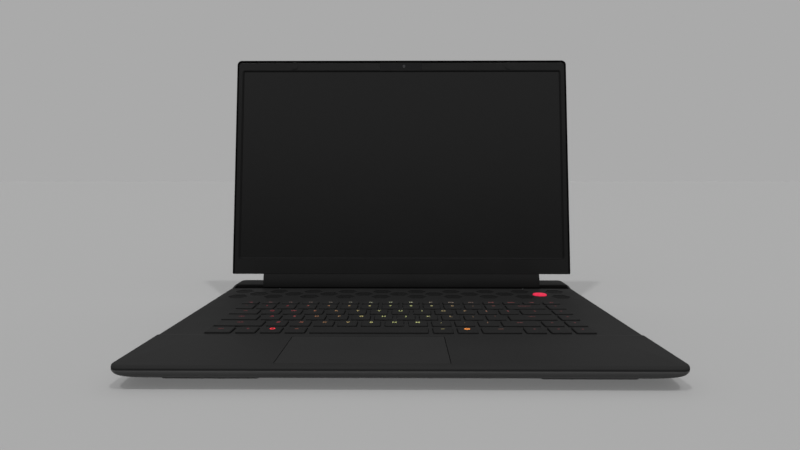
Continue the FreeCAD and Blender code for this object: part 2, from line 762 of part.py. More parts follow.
# ---------------------------------------------------------------- cooling
pipes = new_body("heat_pipes")
runs = []
for side in ("", "-"):
    for x0, x1, y0, y1 in ((22, 30, 124, 132), (38, 46, 112, 120)):
        runs.append(("poly", [
            (side + "(%d)" % x0, 4), (side + "(%d)" % x1, 4), (side + "(%d)" % x1, y0),
            (side + "(150)", y0), (side + "(150)", y1), (side + "(%d)" % x0, y1)]))
add(pipes, "xy", runs, "dims.pipe_low", "dims.pipe_high")
dress(pipes, "Fillet", "5.0",
      lambda edge: along(edge, Z_AXIS) and abs(edge.CenterOfMass.x) < 60 and edge.CenterOfMass.y > 100)
add(pipes, "xy", [box_points(-52, -17, 6, 30), box_points(17, 52, 6, 30)],
    "dims.pipe_high", "dims.chip_low")
keep(pipes, "heat_pipes")

fins = new_body("heatsink_fins")
add(fins, "xy", [box_points(74, 150, 111, 138), box_points(-150, -74, 111, 138)],
    "dims.pipe_high", "dims.pipe_high + 0.6")
leaves = []
for side in (-1, 1):
    for k in range(26):
        x = side * (74.4 + 3.0 * k)
        leaves.append(box_points(x - 0.3, x + 0.3, 111, 138))
add(fins, "xy", leaves, "dims.pipe_high + 0.3", "10.6")
keep(fins, "heatsink_fins")

for side, word in ((-1, "left"), (1, "right")):
    label = "fan_housing_" + word
    x = "%d * dims.fan_x" % side
    shell = make_box(label + "_block", x + " - dims.fan_half", x + " + dims.fan_half",
                     "dims.fan_y - dims.fan_half", "dims.fan_y + dims.fan_half",
                     "dims.fan_low", "dims.fan_high")
    room = make_rod(label + "_room", x, "dims.fan_y", "dims.fan_low + dims.fan_skin",
                    "dims.fan_high - dims.fan_skin", "dims.fan_cavity")
    outlet = make_box(label + "_outlet", x + " - 34", x + " + 34",
                      "dims.fan_y + 12", "dims.fan_y + dims.fan_half + 1",
                      "dims.fan_low + dims.fan_skin", "dims.fan_high - dims.fan_skin")
    mouth = make_rod(label + "_mouth", x, "dims.fan_y", "dims.fan_high - 1",
                     "dims.fan_high + 1", "26")
    holes = [room, outlet, mouth]
    for k in range(6):
        angle = math.radians(60 * k)
        holes.append(make_rod("%s_intake%d" % (label, k),
                              "%s + %.5f" % (x, 21 * math.cos(angle)),
                              "dims.fan_y + %.5f" % (21 * math.sin(angle)),
                              "dims.fan_low - 1", "dims.fan_low + 1", "8.5"))
    shell = subtract(label + "_shell", shell, holes)
    shaft = make_rod(label + "_shaft", x, "dims.fan_y", "dims.fan_low + dims.fan_skin / 2",
                     "8.6", "dims.shaft_radius")
    keep(join(label, [shell, shaft]), label)

    label = "fan_rotor_" + word
    rotor = new_body(label)
    add(rotor, "xy", [("circle", ("0", "0"), "dims.rotor_hub")], "4.6", "8.9")
    add(rotor, "xy", [("poly", [("dims.rotor_hub - 1", -1.2), ("dims.rotor_radius", -7.4),
                                ("dims.rotor_radius", -6.6), ("dims.rotor_hub - 1", -0.4)])],
        "4.8", "8.7")
    blade = rotor.Tip
    pattern = rotor.newObject("PartDesign::PolarPattern", label + "_pattern")
    pattern.Originals = [blade]
    upright = [item for item in rotor.Origin.OriginFeatures if item.Role == "Z_Axis"][0]
    pattern.Axis = (upright, [""])
    pattern.Angle = 360
    pattern.Occurrences = 31
    rotor.Tip = pattern
    doc.recompute()
    cut(rotor, "xy", [("circle", ("0", "0"), "dims.rotor_bore")], "4.6", "8.9")
    rotor.Placement.Base = FreeCAD.Vector(amount(x), amount("dims.fan_y"), 0)
    bind(rotor, "Placement.Base.x", x)
    bind(rotor, "Placement.Base.y", "dims.fan_y")
    keep(rotor, label)

# ---------------------------------------------------------------- battery and speakers
bevel_box("battery", -128, 128, -112, -68, "dims.floor_level", "9.4", "0.6")
body = new_body("speakers")
add(body, "xy", [box_points(138, 166, -111, -72), box_points(-166, -138, -111, -72)],
    "dims.floor_level", "8.6")
dress(body, "Fillet", "3.0", lambda edge: along(edge, Z_AXIS))
keep(body, "speakers")

# ---------------------------------------------------------------- sockets


def rear_block(label, ports, openings, depth):
    body = new_body(label)
    add(body, "xz", [box_points(x - w, x + w, z - t, z + t) for x, w, z, t in ports],
        "126.5", "dims.base_rear - 0.1")
    cut(body, "xz", openings, "dims.base_rear - 0.1 - %s" % depth, "dims.base_rear - 0.1")
    return body


x, w, z, t = REAR_PORTS["power"]
keep(rear_block("power_inlet", [REAR_PORTS["power"]], [("circle", (x, z), "2.8")], "10"),
     "power_inlet")
x, w, z, t = REAR_PORTS["video"]
keep(rear_block("video_port", [REAR_PORTS["video"]],
                [box_points(x - 7.0, x + 7.0, z - 2.3, z + 2.3)], "9"), "video_port")
body = rear_block("small_ports", [REAR_PORTS["small_a"], REAR_PORTS["small_b"]],
                  [box_points(REAR_PORTS[name][0] - 4.2, REAR_PORTS[name][0] + 4.2, 7.9, 10.5)
                   for name in ("small_a", "small_b")], "6")
add(body, "xz", [box_points(REAR_PORTS[name][0] - 3.3, REAR_PORTS[name][0] + 3.3, 8.9, 9.5)
                 for name in ("small_a", "small_b")],
    "dims.base_rear - 7", "dims.base_rear - 1")
keep(body, "small_ports")

body = new_body("large_ports")
mouths = []
tongues = []
shells = []
for name in ("large_a", "large_b"):
    side, y, w, z, t = SIDE_PORTS[name]
    shells.append(box_points(y - w, y + w, z - t, z + t))
    mouths.append(box_points(y - 6.2, y + 6.2, z - 2.4, z + 2.4))
    tongues.append(box_points(y - 5.6, y + 5.6, z + 0.1, z + 1.6))
add(body, "yz", shells, "167", "dims.base_half_width - 0.1")
cut(body, "yz", mouths, "dims.base_half_width - 13.1", "dims.base_half_width - 0.1")
add(body, "yz", tongues, "dims.base_half_width - 14", "dims.base_half_width - 3")
keep(body, "large_ports")

body = new_body("network_port")
side, y, w, z, t = SIDE_PORTS["network"]
add(body, "yz", [box_points(y - w, y + w, z - t, z + t)], "-dims.base_half_width + 0.1", "-164")
cut(body, "yz", [box_points(y - 5.9, y + 5.9, z - 2.9, z + 2.9)],
    "-dims.base_half_width + 0.1", "-dims.base_half_width + 14")
keep(body, "network_port")

body = new_body("audio_jack")
side, y, w, z, t = SIDE_PORTS["audio"]
add(body, "yz", [box_points(y - w, y + w, z - t, z + t)], "-dims.base_half_width + 0.1", "-168")
cut(body, "yz", [("circle", (y, z), "1.8")],
    "-dims.base_half_width + 0.1", "-dims.base_half_width + 13")
keep(body, "audio_jack")

# ---------------------------------------------------------------- hinge brackets in the base
for side, word in ((-1, "left"), (1, "right")):
    body = new_body("hinge_bracket_" + word)
    near, far, foot = ("dims.ring_inner_x", "dims.ring_outer_x", "176")
    if side < 0:
        near, far, foot = ("-dims.ring_outer_x", "-dims.ring_inner_x", "-176")
    add(body, "yz", [("circle", ("dims.hinge_y", "dims.hinge_z"), "dims.ring_radius")], near, far)
    add(body, "yz", [("poly", [
        ("dims.hinge_y", "dims.hinge_z + 1.0"),
        ("116.5", "dims.hinge_z + 1.0"),
        ("116.5", "dims.channel_level + 1.8"),
        ("134", "dims.channel_level + 1.8"),
        ("134", "dims.channel_level + 0.4"),
        ("113.5", "dims.channel_level + 0.4"),
        ("113.5", "dims.hinge_z - 1.4"),
        ("dims.hinge_y", "dims.hinge_z - 1.4"),
    ])], near, far)
    ends = ["dims.ring_outer_x - 1", foot] if side > 0 else [foot, "-dims.ring_outer_x + 1"]
    add(body, "xy", [box_points(ends[0], ends[1], "119", "134")],
        "dims.channel_level + 0.4", "dims.channel_level + 1.8")
    cut(body, "yz", [("circle", ("dims.hinge_y", "dims.hinge_z"), "dims.bracket_bore_radius")],
        near, far)
    keep(body, "hinge_bracket_" + word)

# ---------------------------------------------------------------- lid
# Lid parts are drawn upright about the hinge line and then leaned back.
lid_parts = []


def lid_body(label):
    body = new_body(label)
    lid_parts.append(body)
    return body


def lid_outline():
    return box_points("-dims.lid_half_width", "dims.lid_half_width", "dims.lid_low", "dims.lid_high")


def top_corner(edge):
    return along(edge, Y_AXIS) and edge.CenterOfMass.z > amount("dims.lid_high") - 1


body = lid_body("lid_cover")
add(body, "xz", [lid_outline()], "dims.bezel_back", "dims.lid_back")
dress(body, "Fillet", "dims.lid_corner", top_corner)
dress(body, "Chamfer", "0.8",
      lambda edge: edge.CenterOfMass.y > amount("dims.lid_back") - 0.01
      and edge.CenterOfMass.z > amount("dims.lid_low") + 1)
cut(body, "xz", [box_points("-dims.lid_half_width + dims.lid_rim", "dims.lid_half_width - dims.lid_rim",
                            "dims.lid_low + dims.lid_rim", "dims.lid_high - dims.lid_rim")],
    "dims.bezel_back", "dims.lid_back - dims.lid_skin")
cut(body, "xz", [box_points("-dims.cover_half_width", "dims.cover_half_width",
                            "dims.lid_low", "dims.lid_low + dims.lid_rim + 0.1")],
    "dims.bezel_back", "dims.lid_back - dims.lid_skin")
keep(body, "lid_cover")

WINDOW = (-24.0, 22.5, 238.15, 246.85)
LENS = (2.9, 242.95)
body = lid_body("screen_bezel")
add(body, "xz", [lid_outline()], "dims.lid_front", "dims.bezel_back")
dress(body, "Fillet", "dims.lid_corner", top_corner)
cut(body, "xz", [box_points("-dims.opening_half", "dims.opening_half",
                            "dims.opening_low", "dims.opening_high")],
    "dims.lid_front", "dims.bezel_back")
cut(body, "xz", [box_points(*WINDOW)], "dims.lid_front", "dims.lid_front + 0.4")
cut(body, "xz", [("circle", LENS, "2.2")], "dims.lid_front + 0.4", "dims.bezel_back")
keep(body, "screen_bezel")

body = lid_body("webcam_window")
add(body, "xz", [box_points(WINDOW[0] + 0.05, WINDOW[1] - 0.05, WINDOW[2] + 0.05, WINDOW[3] - 0.05)],
    "dims.lid_front", "dims.lid_front + 0.4")
keep(body, "webcam_window")

body = lid_body("webcam_module")
add(body, "xz", [box_points(-30, 30, 240.4, 246.4)], "-1.2", "-0.2")
add(body, "xz", [("circle", LENS, "1.9")], "dims.lid_front + 0.45", "-1.1")
keep(body, "webcam_module")

body = lid_body("display_panel")
add(body, "xz", [box_points(-180.5, 180.5, 14.5, 239.0)], "-1.9", "0.6")
keep(body, "display_panel")

body = lid_body("screen_glass")
add(body, "xz", [box_points(-178.5, 178.5, 26.5, 238.5)], "dims.bezel_back", "-1.9")
keep(body, "screen_glass")

body = lid_body("display_board")
add(body, "xz", [box_points(-90, 90, 18, 40)], "0.6", "1.4")
add(body, "xz", [box_points(-70, -40, 22, 34), box_points(20, 44, 24, 36)], "1.3", "1.9")
keep(body, "display_board")

body = lid_body("lid_bumpers")
add(body, "xz", [("circle", (120, 243.5), "4"), ("circle", (-120, 243.5), "4")],
    "dims.lid_front - 0.5", "dims.lid_front")
keep(body, "lid_bumpers")


def tangent_point(v, w, radius):
    """Front tangent point on a circle about the hinge line, seen from (v, w)."""
    reach = math.hypot(v, w)
    angle = math.atan2(w, v) + math.acos(radius / reach)
    return (radius * math.cos(angle), radius * math.sin(angle))


def barrel_profile(sketch, front, back, radius_name):
    """Closed outline of the hinge cover: two walls joined by a round underside."""
    radius = amount(radius_name)
    top = amount("dims.lid_low")
    v0 = amount(front)
    v1 = amount(back)
    touch = tangent_point(v0, top, radius)
    low = (v1, -math.sqrt(radius ** 2 - v1 ** 2))
    start = math.atan2(touch[1], touch[0])
    end = math.atan2(low[1], low[0]) + 2 * math.pi
    circle = Part.Circle(FreeCAD.Vector(0, 0, 0), FreeCAD.Vector(0, 0, 1), radius)
    corners = [FreeCAD.Vector(v0, top, 0), FreeCAD.Vector(touch[0], touch[1], 0),
               FreeCAD.Vector(low[0], low[1], 0), FreeCAD.Vector(v1, top, 0)]
    sketch.addGeometry([
        Part.LineSegment(corners[0], corners[1]),
        Part.ArcOfCircle(circle, start, end),
        Part.LineSegment(corners[2], corners[3]),
        Part.LineSegment(corners[3], corners[0]),
    ], False)
    sketch.addConstraint(Sketcher.Constraint("Tangent", 0, 2, 1, 1))
    sketch.addConstraint(Sketcher.Constraint("Coincident", 1, 2, 2, 1))
    sketch.addConstraint(Sketcher.Constraint("Coincident", 2, 2, 3, 1))
    sketch.addConstraint(Sketcher.Constraint("Coincident", 3, 2, 0, 1))
    sketch.addConstraint(Sketcher.Constraint("Vertical", 2))
    sketch.addConstraint(Sketcher.Constraint("Coincident", 1, 3, -1, 1))
    rule = sketch.addConstraint(Sketcher.Constraint("Radius", 1, radius))
    bind(sketch, "Constraints[%d]" % rule, radius_name)
    pin_point(sketch, 0, 1, (front, "dims.lid_low"))
    pin_point(sketch, 3, 1, (back, "dims.lid_low"))


body = lid_body("hinge_cover")
half = amount("dims.cover_half_width")
sketch = place_sketch(body, "YZ_Plane", "-dims.cover_half_width")
barrel_profile(sketch, "dims.lid_front", "dims.lid_back", "dims.cover_radius")
feature = body.newObject("PartDesign::Pad", "hinge_cover_pad")
feature.Profile = sketch
bind(feature, "Length", "2 * dims.cover_half_width")
doc.recompute()
solid = body.Shape.Volume
sketch = place_sketch(body, "YZ_Plane", "dims.cover_half_width - 1.2")
barrel_profile(sketch, "dims.lid_front + 1.3", "dims.lid_back - 0.9", "dims.cover_inner_radius")
feature = body.newObject("PartDesign::Pocket", "hinge_cover_pocket")
feature.Profile = sketch
bind(feature, "Length", "2 * dims.cover_half_width - 2.4")
doc.recompute()
if body.Shape.Volume > solid * 0.8:
    raise ValueError("the hinge cover was not hollowed")
# a slot behind and below each bracket ring, as far as the lid can swing
for low_x, high_x in ((127, 135), (-135, -127)):
    cut(body, "yz", [("poly", [(0, 0), (-9.4, -17.7), (20, -17.7), (20, 8.2), (0, 8.2)])],
        low_x, high_x)
keep(body, "hinge_cover")

for side, word in ((-1, "left"), (1, "right")):
    body = lid_body("hinge_leaf_" + word)

    def span(inner, outer):
        return (inner, outer) if side > 0 else (-outer, -inner)

    low_x, high_x = span(119.0, 127.6)
    add(body, "yz", [("poly", [(-2.3, -2.0), (2.0, -2.0), (2.0, 2.6), (1.95, 2.6), (1.95, 8),
                               (0.75, 8), (0.75, 2.6), (-2.3, 2.6)])], low_x, high_x)
    low_x, high_x = span(104.0, 127.6)
    add(body, "xz", [box_points(low_x, high_x, 7.0, 68.0)], "0.75", "1.95")
    low_x, high_x = span(119.0, 137.8)
    add(body, "yz", [("circle", ("0", "0"), "dims.pin_radius")], low_x, high_x)
    low_x, high_x = span(112.0, 114.0)
    cut(body, "xz", [("circle", (side * 112.0, 60), "1.6"), ("circle", (side * 112.0, 44), "1.6")],
        "0.75", "1.95")
    keep(body, "hinge_leaf_" + word)

body = lid_body("hinge_nuts")
add(body, "yz", [("circle", ("0", "0"), "2.25"), ("circle", ("0", "0"), "dims.pin_radius + 0.03")],
    "134.4", "137.4")
add(body, "yz", [("circle", ("0", "0"), "2.25"), ("circle", ("0", "0"), "dims.pin_radius + 0.03")],
    "-137.4", "-134.4")
keep(body, "hinge_nuts")

lean = FreeCAD.Rotation(X_AXIS, -amount("dims.lid_lean"))
for body in lid_parts:
    spot = FreeCAD.Vector(0, amount("dims.hinge_y"), amount("dims.hinge_z"))
    body.Placement = FreeCAD.Placement(spot, lean)
    bind(body, "Placement.Base.y", "dims.hinge_y")
    bind(body, "Placement.Base.z", "dims.hinge_z")

# ---------------------------------------------------------------- checks and export
doc.recompute()
for obj in doc.Objects:
    if "Invalid" in obj.State or "Error" in obj.State:
        raise ValueError("%s failed to rebuild" % obj.Label)
for obj in PARTS:
    if obj.Shape.isNull() or not obj.Shape.isValid() or not obj.Shape.Solids:
        raise ValueError("%s has no valid solid" % obj.Label)
for obj in PARTS:
    obj.Shape.exportStep("parts/%s.step" % obj.Label)
    print("%-22s solids %3d  volume %10.1f" % (obj.Label, len(obj.Shape.Solids), obj.Shape.Volume))
print("parts written:", len(PARTS))
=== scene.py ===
import json
import math

import bmesh
import bpy
from mathutils import Matrix, Vector


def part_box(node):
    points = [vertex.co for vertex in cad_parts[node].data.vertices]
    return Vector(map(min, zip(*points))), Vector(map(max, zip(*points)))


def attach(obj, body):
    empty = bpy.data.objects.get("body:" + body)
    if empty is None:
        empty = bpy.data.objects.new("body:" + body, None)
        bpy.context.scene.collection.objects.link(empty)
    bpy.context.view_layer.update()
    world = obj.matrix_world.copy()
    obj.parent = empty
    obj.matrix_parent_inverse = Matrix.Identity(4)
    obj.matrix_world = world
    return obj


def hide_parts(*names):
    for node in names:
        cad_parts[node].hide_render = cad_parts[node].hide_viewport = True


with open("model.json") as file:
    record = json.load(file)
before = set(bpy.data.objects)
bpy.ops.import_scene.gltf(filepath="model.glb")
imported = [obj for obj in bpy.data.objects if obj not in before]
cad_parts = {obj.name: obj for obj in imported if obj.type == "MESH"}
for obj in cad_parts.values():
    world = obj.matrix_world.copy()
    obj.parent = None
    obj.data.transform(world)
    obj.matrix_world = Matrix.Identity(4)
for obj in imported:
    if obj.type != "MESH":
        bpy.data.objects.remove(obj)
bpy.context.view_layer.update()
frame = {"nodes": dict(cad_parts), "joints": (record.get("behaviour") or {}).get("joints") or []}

MM = 0.001
scene = bpy.context.scene
JOINT = {j["name"]: j for j in frame["joints"]}
HINGE = Vector(JOINT["lid_hinge"]["pos_m"])
LEAN = math.radians(8.93)  # how far the open lid leans back at rest
LID_FRAME = Matrix.Translation(HINGE) @ Matrix.Rotation(-LEAN, 4, "X")


# ------------------------------------------------------------------ materials
def ramp(nodes, stops):
    node = nodes.new("ShaderNodeValToRGB")
    band = node.color_ramp
    while len(band.elements) < len(stops):
        band.elements.new(0.5)
    for element, (place, colour) in zip(band.elements, stops):
        element.position = place
        element.color = (*colour, 1.0)
    return node


def shade(colour, factor):
    return tuple(min(1.0, max(0.0, c * factor)) for c in colour)


def map_range(tree, source, from_min, from_max, to_min=0.0, to_max=1.0, smooth=False):
    """Maps a value from one range to another and returns the new value's socket."""
    node = tree.nodes.new("ShaderNodeMapRange")
    if smooth:
        node.interpolation_type = "SMOOTHSTEP"
    limits = {"From Min": from_min, "From Max": from_max, "To Min": to_min, "To Max": to_max}
    for socket, value in limits.items():
        node.inputs[socket].default_value = value
    tree.links.new(source, node.inputs["Value"])
    return node.outputs["Result"]


def multiply(tree, first, second, factor):
    """Colour made by multiplying two others, as far as the factor says."""
    node = tree.nodes.new("ShaderNodeMix")
    node.data_type = "RGBA"
    node.blend_type = "MULTIPLY"
    node.inputs["Factor"].default_value = factor
    tree.links.new(first, node.inputs["A"])
    tree.links.new(second, node.inputs["B"])
    return node.outputs["Result"]


DRIFT_SCALE = 22.0
FINE_SHARE = 0.35
GRAIN_DEPTH = 0.06 * MM


def material(name, colour, rough=0.5, grain=1500.0, bump=0.15, vary=0.12, metallic=0.0,
             specular=0.5, smudge=0.08, stretch=None, painted_shade=None):
    """Moulded, painted or metal surface with fine grain, soft colour drift and smudges.

    stretch scales the grain along each axis. The last argument paints shade along the piece: it is
    (y, y, share, share), and the colour is multiplied by the first share up to the first y and by the
    second from the second y on.
    """
    mat = bpy.data.materials.new(name)
    mat.use_nodes = True
    nodes = mat.node_tree.nodes
    links = mat.node_tree.links
    shader = nodes["Principled BSDF"]
    shader.inputs["Metallic"].default_value = metallic
    shader.inputs["Specular IOR Level"].default_value = specular
    place = nodes.new("ShaderNodeTexCoord")
    source = place.outputs["Object"]
    if stretch:
        mapping = nodes.new("ShaderNodeMapping")
        mapping.inputs["Scale"].default_value = stretch
        links.new(source, mapping.inputs["Vector"])
        source = mapping.outputs["Vector"]
    fine = nodes.new("ShaderNodeTexNoise")
    fine.inputs["Scale"].default_value = grain
    fine.inputs["Detail"].default_value = 3.0
    links.new(source, fine.inputs["Vector"])
    broad = nodes.new("ShaderNodeTexNoise")
    broad.inputs["Scale"].default_value = DRIFT_SCALE
    broad.inputs["Detail"].default_value = 4.0
    links.new(place.outputs["Object"], broad.inputs["Vector"])
    mixed = nodes.new("ShaderNodeMath")
    mixed.operation = "MULTIPLY_ADD"
    mixed.inputs[1].default_value = FINE_SHARE
    links.new(fine.outputs["Fac"], mixed.inputs[0])
    scaled = nodes.new("ShaderNodeMath")
    scaled.operation = "MULTIPLY"
    scaled.inputs[1].default_value = 1.0 - FINE_SHARE
    links.new(broad.outputs["Fac"], scaled.inputs[0])
    links.new(scaled.outputs[0], mixed.inputs[2])
    tint = ramp(nodes, [(0.3, shade(colour, 1 - vary)), (0.7, shade(colour, 1 + vary))])
    links.new(mixed.outputs[0], tint.inputs["Fac"])
    result = tint.outputs["Color"]
    # painted shade: the colour darkens along y from the first share to the second
    if painted_shade:
        along = nodes.new("ShaderNodeSeparateXYZ")
        links.new(place.outputs["Object"], along.inputs["Vector"])
        amount = map_range(mat.node_tree, along.outputs["Y"], *painted_shade)
        result = multiply(mat.node_tree, result, amount, 1.0)
    links.new(result, shader.inputs["Base Color"])
    glossy = map_range(mat.node_tree, mixed.outputs[0], 0.25, 0.75,
                       max(0.02, rough - smudge), min(1.0, rough + smudge))
    links.new(glossy, shader.inputs["Roughness"])
    lift = nodes.new("ShaderNodeBump")
    lift.inputs["Strength"].default_value = bump
    lift.inputs["Distance"].default_value = GRAIN_DEPTH
    links.new(fine.outputs["Fac"], lift.inputs["Height"])
    links.new(lift.outputs["Normal"], shader.inputs["Normal"])
    return mat


def glowing(name, stops, strength, span):
    """Lit surface whose colour follows the stops from left to right over the span."""
    mat = bpy.data.materials.new(name)
    mat.use_nodes = True
    nodes = mat.node_tree.nodes
    links = mat.node_tree.links
    shader = nodes["Principled BSDF"]
    shader.inputs["Roughness"].default_value = 0.5
    shader.inputs["Specular IOR Level"].default_value = 0.06
    place = nodes.new("ShaderNodeTexCoord")
    split = nodes.new("ShaderNodeSeparateXYZ")
    links.new(place.outputs["Object"], split.inputs["Vector"])
    across = map_range(mat.node_tree, split.outputs["X"], *span)
    band = ramp(nodes, stops)
    links.new(across, band.inputs["Fac"])
    mottled = nodes.new("ShaderNodeTexNoise")
    mottled.inputs["Scale"].default_value = 400.0
    links.new(place.outputs["Object"], mottled.inputs["Vector"])
    dim = multiply(mat.node_tree, band.outputs["Color"], mottled.outputs["Fac"], 0.25)
    print_tint = ramp(nodes, [(0.3, (0.02, 0.02, 0.02)), (0.7, (0.035, 0.035, 0.035))])
    links.new(mottled.outputs["Fac"], print_tint.inputs["Fac"])
    links.new(print_tint.outputs["Color"], shader.inputs["Base Color"])
    links.new(dim, shader.inputs["Emission Color"])
    shader.inputs["Emission Strength"].default_value = strength
    return mat


M = {
    # the deck colour carries painted shade, darker towards the hinge where the lid shades it
    "deck": material("deck_plastic", (0.0196,) * 3, 0.6, 1700, 0.12, 0.05, specular=0.03,
                     painted_shade=(-0.11, 0.06, 1.0, 0.74)),
    "shelf": material("shelf_plastic", (0.0160,) * 3, 0.6, 1700, 0.12, 0.05, specular=0.03),
    "lower": material("lower_plastic", (0.068,) * 3, 0.5, 1500, 0.18, 0.06, specular=0.1),
    "key": material("key_plastic", (0.0166,) * 3, 0.6, 2200, 0.1, 0.05, specular=0.03),
    "pad": material("touch_surface", (0.0222,) * 3, 0.55, 2600, 0.06, 0.04, specular=0.03),
    "lid": material("lid_paint", (0.05, 0.05, 0.052), 0.42, 1200, 0.08, 0.06, specular=0.25,
                    stretch=(0.15, 1, 1)),
    "bezel": material("bezel_plastic", (0.0058,) * 3, 0.38, 1800, 0.14, 0.06, specular=0.33),
    "seal": material("seal_rubber", (0.0060,) * 3, 0.75, 1800, 0.2, 0.1, specular=0.14),
    # very dark colour for the strip round the front edge of the lid
    "dark_rim": material("lid_gasket_rubber", (0.0015,) * 3, 0.8, 1800, 0.2, 0.1, specular=0.02),
    "hinge": material("hinge_plastic", (0.0150,) * 3, 0.6, 1800, 0.14, 0.06, specular=0.05),
    "screen": material("screen_film", (0.003,) * 3, 0.22, 4000, 0.03, 0.05, smudge=0.02, specular=0.46),
    "window": material("camera_window", (0.004, 0.004, 0.005), 0.16, 3000, 0.02, 0.05, smudge=0.02,
                       specular=0.36),
    "lens": material("camera_lens", (0.05, 0.05, 0.055), 0.2, 3000, 0.02, 0.05, smudge=0.03),
    "grille": material("vent_grille", (0.0115,) * 3, 0.65, 1800, 0.15, 0.06, specular=0.03),
    "dark": material("inner_dark", (0.006,) * 3, 0.7, 900, 0.2, 0.15, specular=0.1),
    "rubber": material("foot_rubber", (0.012,) * 3, 0.8, 1300, 0.35, 0.12, specular=0.2),
    "screw": material("black_steel", (0.035, 0.035, 0.036), 0.45, 1500, 0.1, 0.1, metallic=0.8,
                      specular=0.2),
    "board": material("solder_mask", (0.008, 0.05, 0.03), 0.35, 700, 0.3, 0.3),
    "chip": material("chip_epoxy", (0.02, 0.02, 0.02), 0.5, 1500, 0.2, 0.15),
    "copper": material("bare_copper", (0.72, 0.36, 0.22), 0.3, 500, 0.1, 0.12, metallic=1.0),
    "fin": material("fin_aluminium", (0.7, 0.7, 0.71), 0.35, 700, 0.1, 0.08, metallic=1.0,
                    stretch=(1, 0.1, 1)),
    "plated": material("plated_shell", (0.55, 0.55, 0.55), 0.28, 1500, 0.08, 0.08, metallic=1.0),
    "battery": material("battery_wrap", (0.02, 0.02, 0.022), 0.45, 600, 0.2, 0.1),
    "panel": material("panel_back", (0.25, 0.25, 0.25), 0.4, 800, 0.1, 0.1, metallic=0.6),
    "membrane": material("dome_rubber", (0.06, 0.06, 0.065), 0.6, 900, 0.1, 0.1),
}

# colours of the lit legends, from the left edge of the keyboard (0) to the right (1)
HUES = [(0.00, (0.130, 0.005, 0.012)), (0.136, (0.160, 0.004, 0.012)), (0.20, (0.180, 0.022, 0.024)),
        (0.263, (0.180, 0.075, 0.028)), (0.326, (0.210, 0.120, 0.050)), (0.39, (0.330, 0.280, 0.100)),
        (0.453, (0.320, 0.340, 0.125)), (0.52, (0.270, 0.300, 0.110)), (0.58, (0.290, 0.290, 0.125)),
        (0.65, (0.220, 0.150, 0.070)), (0.72, (0.160, 0.090, 0.050)), (0.80, (0.140, 0.030, 0.030)),
        (1.00, (0.130, 0.010, 0.015))]
PALE = [(0.00, (0.160, 0.020, 0.030)), (0.08, (0.090, 0.035, 0.035)), (0.20, (0.080, 0.050, 0.045)),
        (0.34, (0.130, 0.120, 0.090)), (0.50, (0.280, 0.300, 0.180)), (0.60, (0.230, 0.190, 0.140)),
        (0.72, (0.140, 0.090, 0.070)), (0.80, (0.150, 0.030, 0.030)), (1.00, (0.100, 0.012, 0.015))]
LEFT_RIGHT = (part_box("key_escape")[0].x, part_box("keys_media_column")[1].x)
M["legend"] = glowing("key_backlight", HUES, 1.75, LEFT_RIGHT)
M["legend_pale"] = glowing("key_backlight_pale", PALE, 2.2, LEFT_RIGHT)
M["legend_dim"] = glowing("key_backlight_dim", HUES, 1.0, LEFT_RIGHT)
M["legend_bright"] = glowing("key_backlight_bright", [(0.0, (0.85, 0.020, 0.040)),
                                                      (0.45, (0.85, 0.020, 0.040)),
                                                      (0.55, (0.95, 0.300, 0.050)),
                                                      (1.0, (0.95, 0.300, 0.050))], 1.45, LEFT_RIGHT)
M["button"] = glowing("button_light", [(0.0, (0.871, 0.012, 0.070)), (1.0, (0.871, 0.010, 0.068))],
                      1.0, LEFT_RIGHT)


# ------------------------------------------------------------------ mesh helpers
def finish_mesh(name, bm, mat, body, replaces=(), sharp=32.0, matrix=None, fix=True):
    """Turns a bmesh into a piece that rides on a body."""
    bmesh.ops.remove_doubles(bm, verts=bm.verts, dist=1e-7)
    if fix:
        bmesh.ops.recalc_face_normals(bm, faces=bm.faces)
    mesh = bpy.data.meshes.new(name)
    bm.to_mesh(mesh)
    bm.free()
    if matrix is not None:
        mesh.transform(matrix)
    mesh.polygons.foreach_set("use_smooth", [True] * len(mesh.polygons))
    mesh.set_sharp_from_angle(angle=math.radians(sharp))
    mesh.materials.append(mat)
    obj = bpy.data.objects.new(name, mesh)
    scene.collection.objects.link(obj)
    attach(obj, body)
    if replaces:
        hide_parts(*replaces)
    return obj


def corner_outline(x0, x1, y0, y1, radii, steps=8):
    """Closed outline; radii are (x, y) pairs for front right, rear right, rear left, front left."""
    points = []
    signs = ((1, -1, -90), (1, 1, 0), (-1, 1, 90), (-1, -1, 180))
    for (sx, sy, start), radius in zip(signs, radii):
        rx, ry = radius if isinstance(radius, (list, tuple)) else (radius, radius)
        cx = (x1 - rx) if sx > 0 else (x0 + rx)
        cy = (y1 - ry) if sy > 0 else (y0 + ry)
        for k in range(steps + 1):
            a = math.radians(start + 90.0 * k / steps)
            points.append((cx + rx * math.cos(a), cy + ry * math.sin(a)))
    return points


def ring(bm, points, z, plane="xy"):
    """Vertices along an outline, at height z or, in the plane xz, at depth z."""
    if plane == "xy":
        return [bm.verts.new((p[0], p[1], z)) for p in points]
    return [bm.verts.new((p[0], z, p[1])) for p in points]


def skin(bm, rings):
    """Joins each closed ring of vertices to the next."""
    count = len(rings[0])
    for low, high in zip(rings, rings[1:]):
        for k in range(count):
            j = (k + 1) % count
            bm.faces.new((low[k], low[j], high[j], high[k]))


def close_ends(bm, rings):
    bm.faces.new(rings[-1])
    bm.faces.new(list(reversed(rings[0])))


def prism(bm, sections):
    """Solid through closed sections that have the same number of points."""
    rings = [[bm.verts.new(point) for point in section] for section in sections]
    skin(bm, rings)
    bm.faces.new(rings[0])
    bm.faces.new(list(reversed(rings[-1])))


def loop_edges(verts):
    """Edges of a closed ring of vertices."""
    edges = []
    for k, v in enumerate(verts):
        w = verts[(k + 1) % len(verts)]
        for e in v.link_edges:
            if e.other_vert(v) is w:
                edges.append(e)
                break
    return edges


